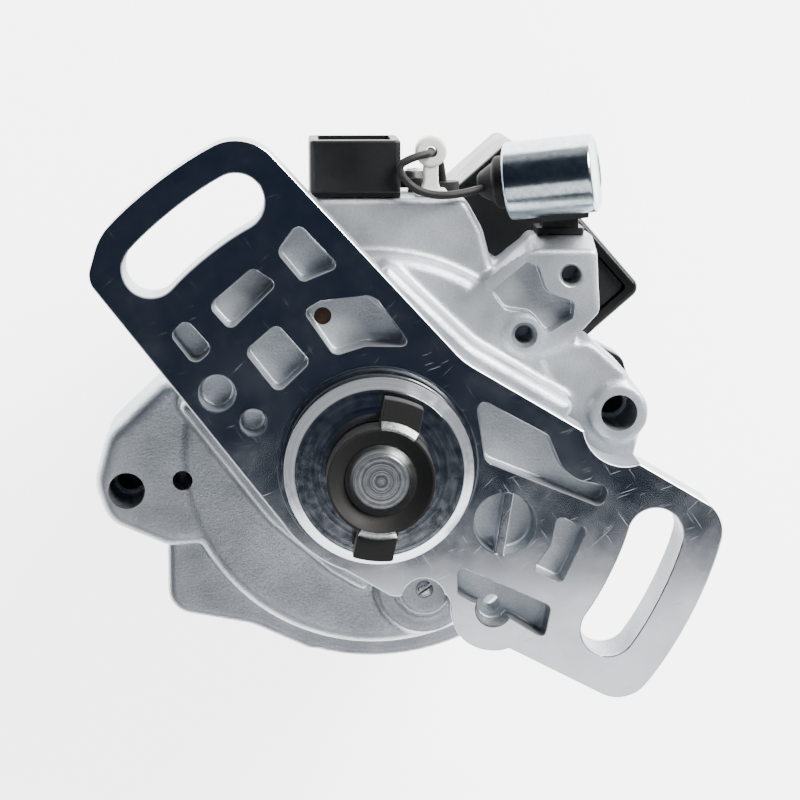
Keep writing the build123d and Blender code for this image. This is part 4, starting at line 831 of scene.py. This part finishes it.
def cap_rooms(bm):
    """Room for the rotor, stepped tower bores, the coil's room and the screw holes."""
    disc(bm, 0, 0, CAP_INNER_R, CAP_ROOF_Z + CAP_ROOF_T, PARTING_Z + 1)
    slab(bm, COIL_ROOM, CONTACT_Z, PARTING_Z + 1, 0.0, 0.0, at(0, 0, 0, COIL_ANGLE))
    for angle in TOWER_ANGLES:
        turned(bm, [(0, -67, 0), (3.2, -67, 0), (3.2, -74.4, 0), (4.6, -74.4, 0), (4.6, -79.6, 0),
                    (5.0, -81, 0), (0, -81, 0)], at(*polar(TOWER_PITCH_R, angle)), 48)
    for x, y in (LEFT_EAR, RIGHT_EAR, LOBE_BOSS):
        disc(bm, x, y, CAP_SCREW_R, PARTING_Z - 8, PARTING_Z + 1)
    disc(bm, *LOBE_BOSS, 4.6, PARTING_Z - 13, PARTING_Z - 7)


def build_cap():
    """Moulded cap with its coil case and four sockets, and the brush guide inside."""
    bm = bmesh.new()
    cap_shells(bm)
    piece = add("cap_moulding", bm, "cap_plastic", replaces=("distributor_cap",), sharp=35)
    rooms = bmesh.new()
    cap_rooms(rooms)
    carve(piece, rooms)
    bm = bmesh.new()
    turned(bm, [(2.45, CONTACT_Z, 0), (5.0, CONTACT_Z, 0), (5.0, -52.4, 0.3), (2.45, -52.4, 0.2)], steps=48)
    add("brush_guide", bm, "cap_plastic")


def build_brush_spring():
    """Spring wire wound from the roof contact to the brush."""
    length = 4.2
    turns = 3.5
    coil_r = 1.8
    wire_r = 0.24
    steps = 84
    bm = bmesh.new()
    bmesh.ops.create_circle(bm, cap_ends=True, segments=10, radius=wire_r,
                            matrix=Matrix.Translation((coil_r, 0, CONTACT_Z + wire_r + 0.01)) @ STANDING)
    bmesh.ops.spin(bm, geom=bm.verts[:] + bm.edges[:] + bm.faces[:], cent=(0, 0, 0), axis=(0, 0, 1),
                   dvec=(0, 0, (length - 2 * wire_r - 0.04) / steps), angle=2 * pi * turns, steps=steps)
    piece = add("brush_spring_wire", bm, "worn_steel", replaces=("brush_spring",), sharp=60)
    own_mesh(piece)


def build_body_screw():
    """Bright domed set screw with a slot."""
    bm = bmesh.new()
    turned(bm, [(0, -9.15, 0), (1.0, -9.2, 0.6), (1.5, -9.6, 0.2), (1.5, -15.0, 0), (0, -15.0, 0)],
           at(*PIN_XY), 48)
    piece = add("body_screw_bright", bm, "worn_steel", replaces=("body_screw",), sharp=30)
    slot = bmesh.new()
    slab(slot, [(-2.5, -0.3, 0), (2.5, -0.3, 0), (2.5, 0.3, 0), (-2.5, 0.3, 0)], -9.9, -8.5, 0.0, 0.0,
         at(*PIN_XY, 0, 35))
    carve(piece, slot)


# Nodes by finish, also those that a scene piece stands for

FINISHES = {
    "bearing_steel": ("front_bearing_outer_race", "rear_bearing_outer_race", "front_bearing_inner_race",
                      "rear_bearing_inner_race", "front_bearing_balls", "rear_bearing_balls",
                      "bearing_spacer_tube", "inner_spacer", "thrust_washer"),
    "worn_steel": ("bearing_retainer", "retainer_screws", "pickup_base", "base_screws", "sensor_screws",
                   "module_screws", "coupling_pin", "trigger_wheel", "trigger_hub", "shaft_circlip",
                   "rotor_screw", "connector_screw", "brush_spring", "body_screw"),
    "zinc_plating": ("condenser_can",),
    # The condenser bracket's black is painted shade under the can.
    "black_steel_and_painted_shade": ("cap_screws", "condenser_bracket", "condenser_screw"),
    "brass": ("rotor_blade", "tower_terminals", "centre_contact", "connector_terminals",
              "front_bearing_cage", "rear_bearing_cage"),
    "rusted_plug": ("gallery_plug",),
    "electrode_aluminium": ("cap_electrodes",),
    "enamelled_copper": ("coil_winding",),
    "core_laminations": ("coil_core",),
    "sintered_carbon": ("carbon_brush",),
    "black_rubber": ("oil_seal", "cap_gasket", "connector_seal", "lead_grommet", "condenser_boot",
                     "condenser_lead", "spigot_o_ring"),
    "moulded_black_plastic": ("pickup_sensor", "ignition_module", "dust_shield", "coil_body",
                              "connector_housing", "rotor_arm"),
    "cap_plastic": ("distributor_cap",),
    "cast_aluminium": ("housing",),
    "turned_steel": ("shaft",),
    "phosphated_steel": ("drive_coupling",),
    "natural_nylon": ("lead_clip",),
}


# Stage

def area_light(name, place, towards, size, power, colour="#FFFFFF"):
    """Soft box of a given width and height in metres, aimed at a point."""
    lamp = bpy.data.lights.new(name, "AREA")
    lamp.shape = "RECTANGLE"
    lamp.size, lamp.size_y = size
    lamp.energy = power
    lamp.color = linear(colour)[:3]
    holder = in_scene(name, lamp)
    holder.location = place
    holder.rotation_euler = (Vector(towards) - Vector(place)).to_track_quat("-Z", "Y").to_euler()


def build_floor(level):
    """White paper just under the object."""
    bm = bmesh.new()
    bmesh.ops.create_grid(bm, x_segments=1, y_segments=1, size=2.0)
    bmesh.ops.translate(bm, verts=bm.verts, vec=(0, 0, level))
    mesh = bpy.data.meshes.new("floor")
    bm.to_mesh(mesh)
    bm.free()
    mesh.materials.append(materials["studio_floor"])
    in_scene("floor", mesh)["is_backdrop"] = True


def build_world():
    """White from the horizon up to 15 degrees, dark blue above 30."""
    world = bpy.data.worlds.new("studio")
    world.use_nodes = True
    tree = world.node_tree
    tree.nodes.clear()
    towards = node(tree, "ShaderNodeTexCoord").outputs["Generated"]
    up = node(tree, "ShaderNodeSeparateXYZ", {0: towards}).outputs[2]
    dark = node(tree, "ShaderNodeMapRange", {"Value": up, "From Min": 0.25, "From Max": 0.5}).outputs[0]
    sky = node(tree, "ShaderNodeMix", {0: dark, 6: linear("#F4F5F7"), 7: linear("#2B3546")}, data_type="RGBA")
    shade = node(tree, "ShaderNodeBackground", {"Color": sky.outputs[2], "Strength": 0.7})
    node(tree, "ShaderNodeOutputWorld", {"Surface": shade.outputs[0]})
    bpy.context.scene.world = world


def build_camera():
    """Drive-end view, a little above and left of the shaft."""
    turn, lift = radians(-2.742), radians(9.650)
    right = Vector((cos(turn), 0, -sin(turn)))
    back = Vector((sin(turn) * cos(lift), sin(lift), cos(turn) * cos(lift)))
    lens = bpy.data.cameras.new("camera")
    lens.lens = 111.15
    lens.sensor_width = 36.0
    camera = in_scene("camera", lens)
    place = Matrix((right, back.cross(right), back)).transposed().to_4x4()
    place.translation = Vector((-15.98, 81.39, 411.9)) * MM
    camera.matrix_world = place
    bpy.context.scene.camera = camera


def build_stage(sizes):
    """Floor, world, key light, the card that the milled face mirrors, and the camera."""
    build_floor(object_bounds()[0][2] - 0.0002)
    build_world()
    area_light("key_light", (0.5, 0.55, 0.43), (0, 0, -0.02), (0.4, 0.4), sizes.key_power, "#FFFDF8")
    area_light("face_card", (0.3, -0.48, 0.62), (0.3, -0.48, 0.0), (1.2, 0.61), 4.5)
    build_camera()


# Add-on

def size_setting(name, description, default, low, high):
    """Size in millimetres with its limits."""
    return bpy.props.FloatProperty(name=name, description=description + ", in mm", default=default,
                                   min=low, max=high)


class DistributorSizes(bpy.types.PropertyGroup):
    """Sizes in millimetres that shape the visible pieces."""
    flange_radius: size_setting("Flange radius", "Radius of the arcs at the ends of the flange arms",
                                60.8, 58.0, 64.0)
    flange_thickness: size_setting("Flange thickness", "Thickness of the flange plate", 10.0, 6.0, 11.0)
    pocket_depth: size_setting("Pocket depth", "Depth of the cast pockets", 4.6, 2.0, 6.0)
    slot_width: size_setting("Slot width", "Width of the two clamp slots", 10.0, 7.0, 12.0)
    spigot_radius: size_setting("Spigot radius", "Radius of the register that enters the engine",
                                16.0, 15.0, 16.5)
    shaft_radius: size_setting("Shaft radius", "Radius of the driven shaft", 6.0, 5.5, 6.5)
    lead_radius: size_setting("Lead radius", "Radius of the condenser lead", 0.7, 0.4, 1.2)
    casting_grain: size_setting("Casting softness", "Voxel that softens the edges of the casting",
                                0.5, 0.3, 1.5)
    key_power: bpy.props.FloatProperty(
        name="Key light", description="Power of the key light", default=26.0, min=0.0, max=40.0, unit="POWER")


def colour_setting(name, description, hex_colour):
    """Colour picker whose default is an sRGB hex value."""
    return bpy.props.FloatVectorProperty(name=name, description=description, subtype="COLOR", size=3,
                                         min=0.0, max=1.0, default=linear(hex_colour)[:3])


class DistributorColours(bpy.types.PropertyGroup):
    """Colours of the finishes that show most."""
    casting: colour_setting("Casting", "Fresh shot-blasted aluminium", "#CDD3DA")
    casting_stain: colour_setting("Casting stain", "Darker clouds on the casting", "#A0A5AB")
    milled_face: colour_setting("Milled face", "Bright milled aluminium", "#D4D8DE")
    zinc: colour_setting("Zinc", "Plating of the condenser can", "#CCD5DA")
    plastic: colour_setting("Plastic", "Black mouldings", "#08090A")
    nylon: colour_setting("Nylon", "Milky lead clip", "#E9EBE6")


class DISTRIBUTOR_OT_finishes(bpy.types.Operator):
    """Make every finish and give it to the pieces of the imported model"""
    bl_idname = "distributor.finishes"
    bl_label = "Finishes"

    def execute(self, context):
        colours = context.scene.distributor_colours
        cast_finishes(colours)
        metal_finishes(colours)
        soft_finishes(colours)
        for name, nodes in FINISHES.items():
            for part in nodes:
                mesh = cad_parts[part].data
                mesh.materials.clear()
                mesh.materials.append(materials[name])
        return {"FINISHED"}


class DISTRIBUTOR_OT_flange(bpy.types.Operator):
    """Build the slotted flange plate with its pockets"""
    bl_idname = "distributor.flange"
    bl_label = "Flange"

    def execute(self, context):
        build_flange(context.scene.distributor_sizes)
        return {"FINISHED"}


class DISTRIBUTOR_OT_spigot(bpy.types.Operator):
    """Build the spigot, the bearing barrel and the seal ring"""
    bl_idname = "distributor.spigot"
    bl_label = "Spigot"

    def execute(self, context):
        build_spigot(context.scene.distributor_sizes)
        return {"FINISHED"}


class DISTRIBUTOR_OT_casting(bpy.types.Operator):
    """Build the bowl casting with its ears, lobes and web"""
    bl_idname = "distributor.casting"
    bl_label = "Casting"

    def execute(self, context):
        build_casting(context.scene.distributor_sizes)
        return {"FINISHED"}


class DISTRIBUTOR_OT_shaft(bpy.types.Operator):
    """Build the driven shaft and its coupling"""
    bl_idname = "distributor.shaft"
    bl_label = "Shaft and coupling"

    def execute(self, context):
        build_shaft(context.scene.distributor_sizes)
        build_coupling(context.scene.distributor_sizes)
        return {"FINISHED"}


class DISTRIBUTOR_OT_condenser(bpy.types.Operator):
    """Build the condenser can with its boot, bracket and lead"""
    bl_idname = "distributor.condenser"
    bl_label = "Condenser and lead"

    def execute(self, context):
        build_condenser()
        build_bracket()
        build_lead(context.scene.distributor_sizes)
        return {"FINISHED"}


class DISTRIBUTOR_OT_connector(bpy.types.Operator):
    """Build the connector and the lead clip"""
    bl_idname = "distributor.connector"
    bl_label = "Connector and clip"

    def execute(self, context):
        build_connector()
        build_clip()
        return {"FINISHED"}


class DISTRIBUTOR_OT_cap(bpy.types.Operator):
    """Build the cap with its coil case and sockets, and the spring of the brush"""
    bl_idname = "distributor.cap"
    bl_label = "Cap"

    def execute(self, context):
        build_cap()
        build_brush_spring()
        return {"FINISHED"}


class DISTRIBUTOR_OT_body_screw(bpy.types.Operator):
    """Build the bright set screw beside the flange"""
    bl_idname = "distributor.body_screw"
    bl_label = "Body screw"

    def execute(self, context):
        build_body_screw()
        return {"FINISHED"}


class DISTRIBUTOR_OT_stage(bpy.types.Operator):
    """Build the floor, the lights and the camera"""
    bl_idname = "distributor.stage"
    bl_label = "Stage"

    def execute(self, context):
        build_stage(context.scene.distributor_sizes)
        return {"FINISHED"}


OPERATORS = (DISTRIBUTOR_OT_finishes, DISTRIBUTOR_OT_stage, DISTRIBUTOR_OT_flange, DISTRIBUTOR_OT_spigot,
             DISTRIBUTOR_OT_casting, DISTRIBUTOR_OT_shaft, DISTRIBUTOR_OT_condenser,
             DISTRIBUTOR_OT_connector, DISTRIBUTOR_OT_cap, DISTRIBUTOR_OT_body_screw)


class DISTRIBUTOR_PT_panel(bpy.types.Panel):
    """Sizes, colours and builders in the sidebar"""
    bl_label = "Distributor"
    bl_idname = "DISTRIBUTOR_PT_panel"
    bl_space_type = "VIEW_3D"
    bl_region_type = "UI"
    bl_category = "Distributor"

    def draw(self, context):
        for group in (context.scene.distributor_sizes, context.scene.distributor_colours):
            for name in group.bl_rna.properties.keys():
                if name not in ("rna_type", "name"):
                    self.layout.prop(group, name)
        for operator in OPERATORS:
            self.layout.operator(operator.bl_idname)


CLASSES = (DistributorSizes, DistributorColours, DISTRIBUTOR_PT_panel, *OPERATORS)


def register():
    """Register the classes and give the scene its settings."""
    for item in CLASSES:
        bpy.utils.register_class(item)
    bpy.types.Scene.distributor_sizes = bpy.props.PointerProperty(type=DistributorSizes)
    bpy.types.Scene.distributor_colours = bpy.props.PointerProperty(type=DistributorColours)


def unregister():
    """Take the settings and classes away again."""
    del bpy.types.Scene.distributor_colours
    del bpy.types.Scene.distributor_sizes
    for item in reversed(CLASSES):
        bpy.utils.unregister_class(item)


def main():
    """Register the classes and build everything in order."""
    register()
    bpy.ops.distributor.finishes()
    bpy.ops.distributor.stage()
    bpy.ops.distributor.flange()
    bpy.ops.distributor.spigot()
    bpy.ops.distributor.casting()
    bpy.ops.distributor.shaft()
    bpy.ops.distributor.condenser()
    bpy.ops.distributor.connector()
    bpy.ops.distributor.cap()
    bpy.ops.distributor.body_screw()


if __name__ == "__main__":
    main()
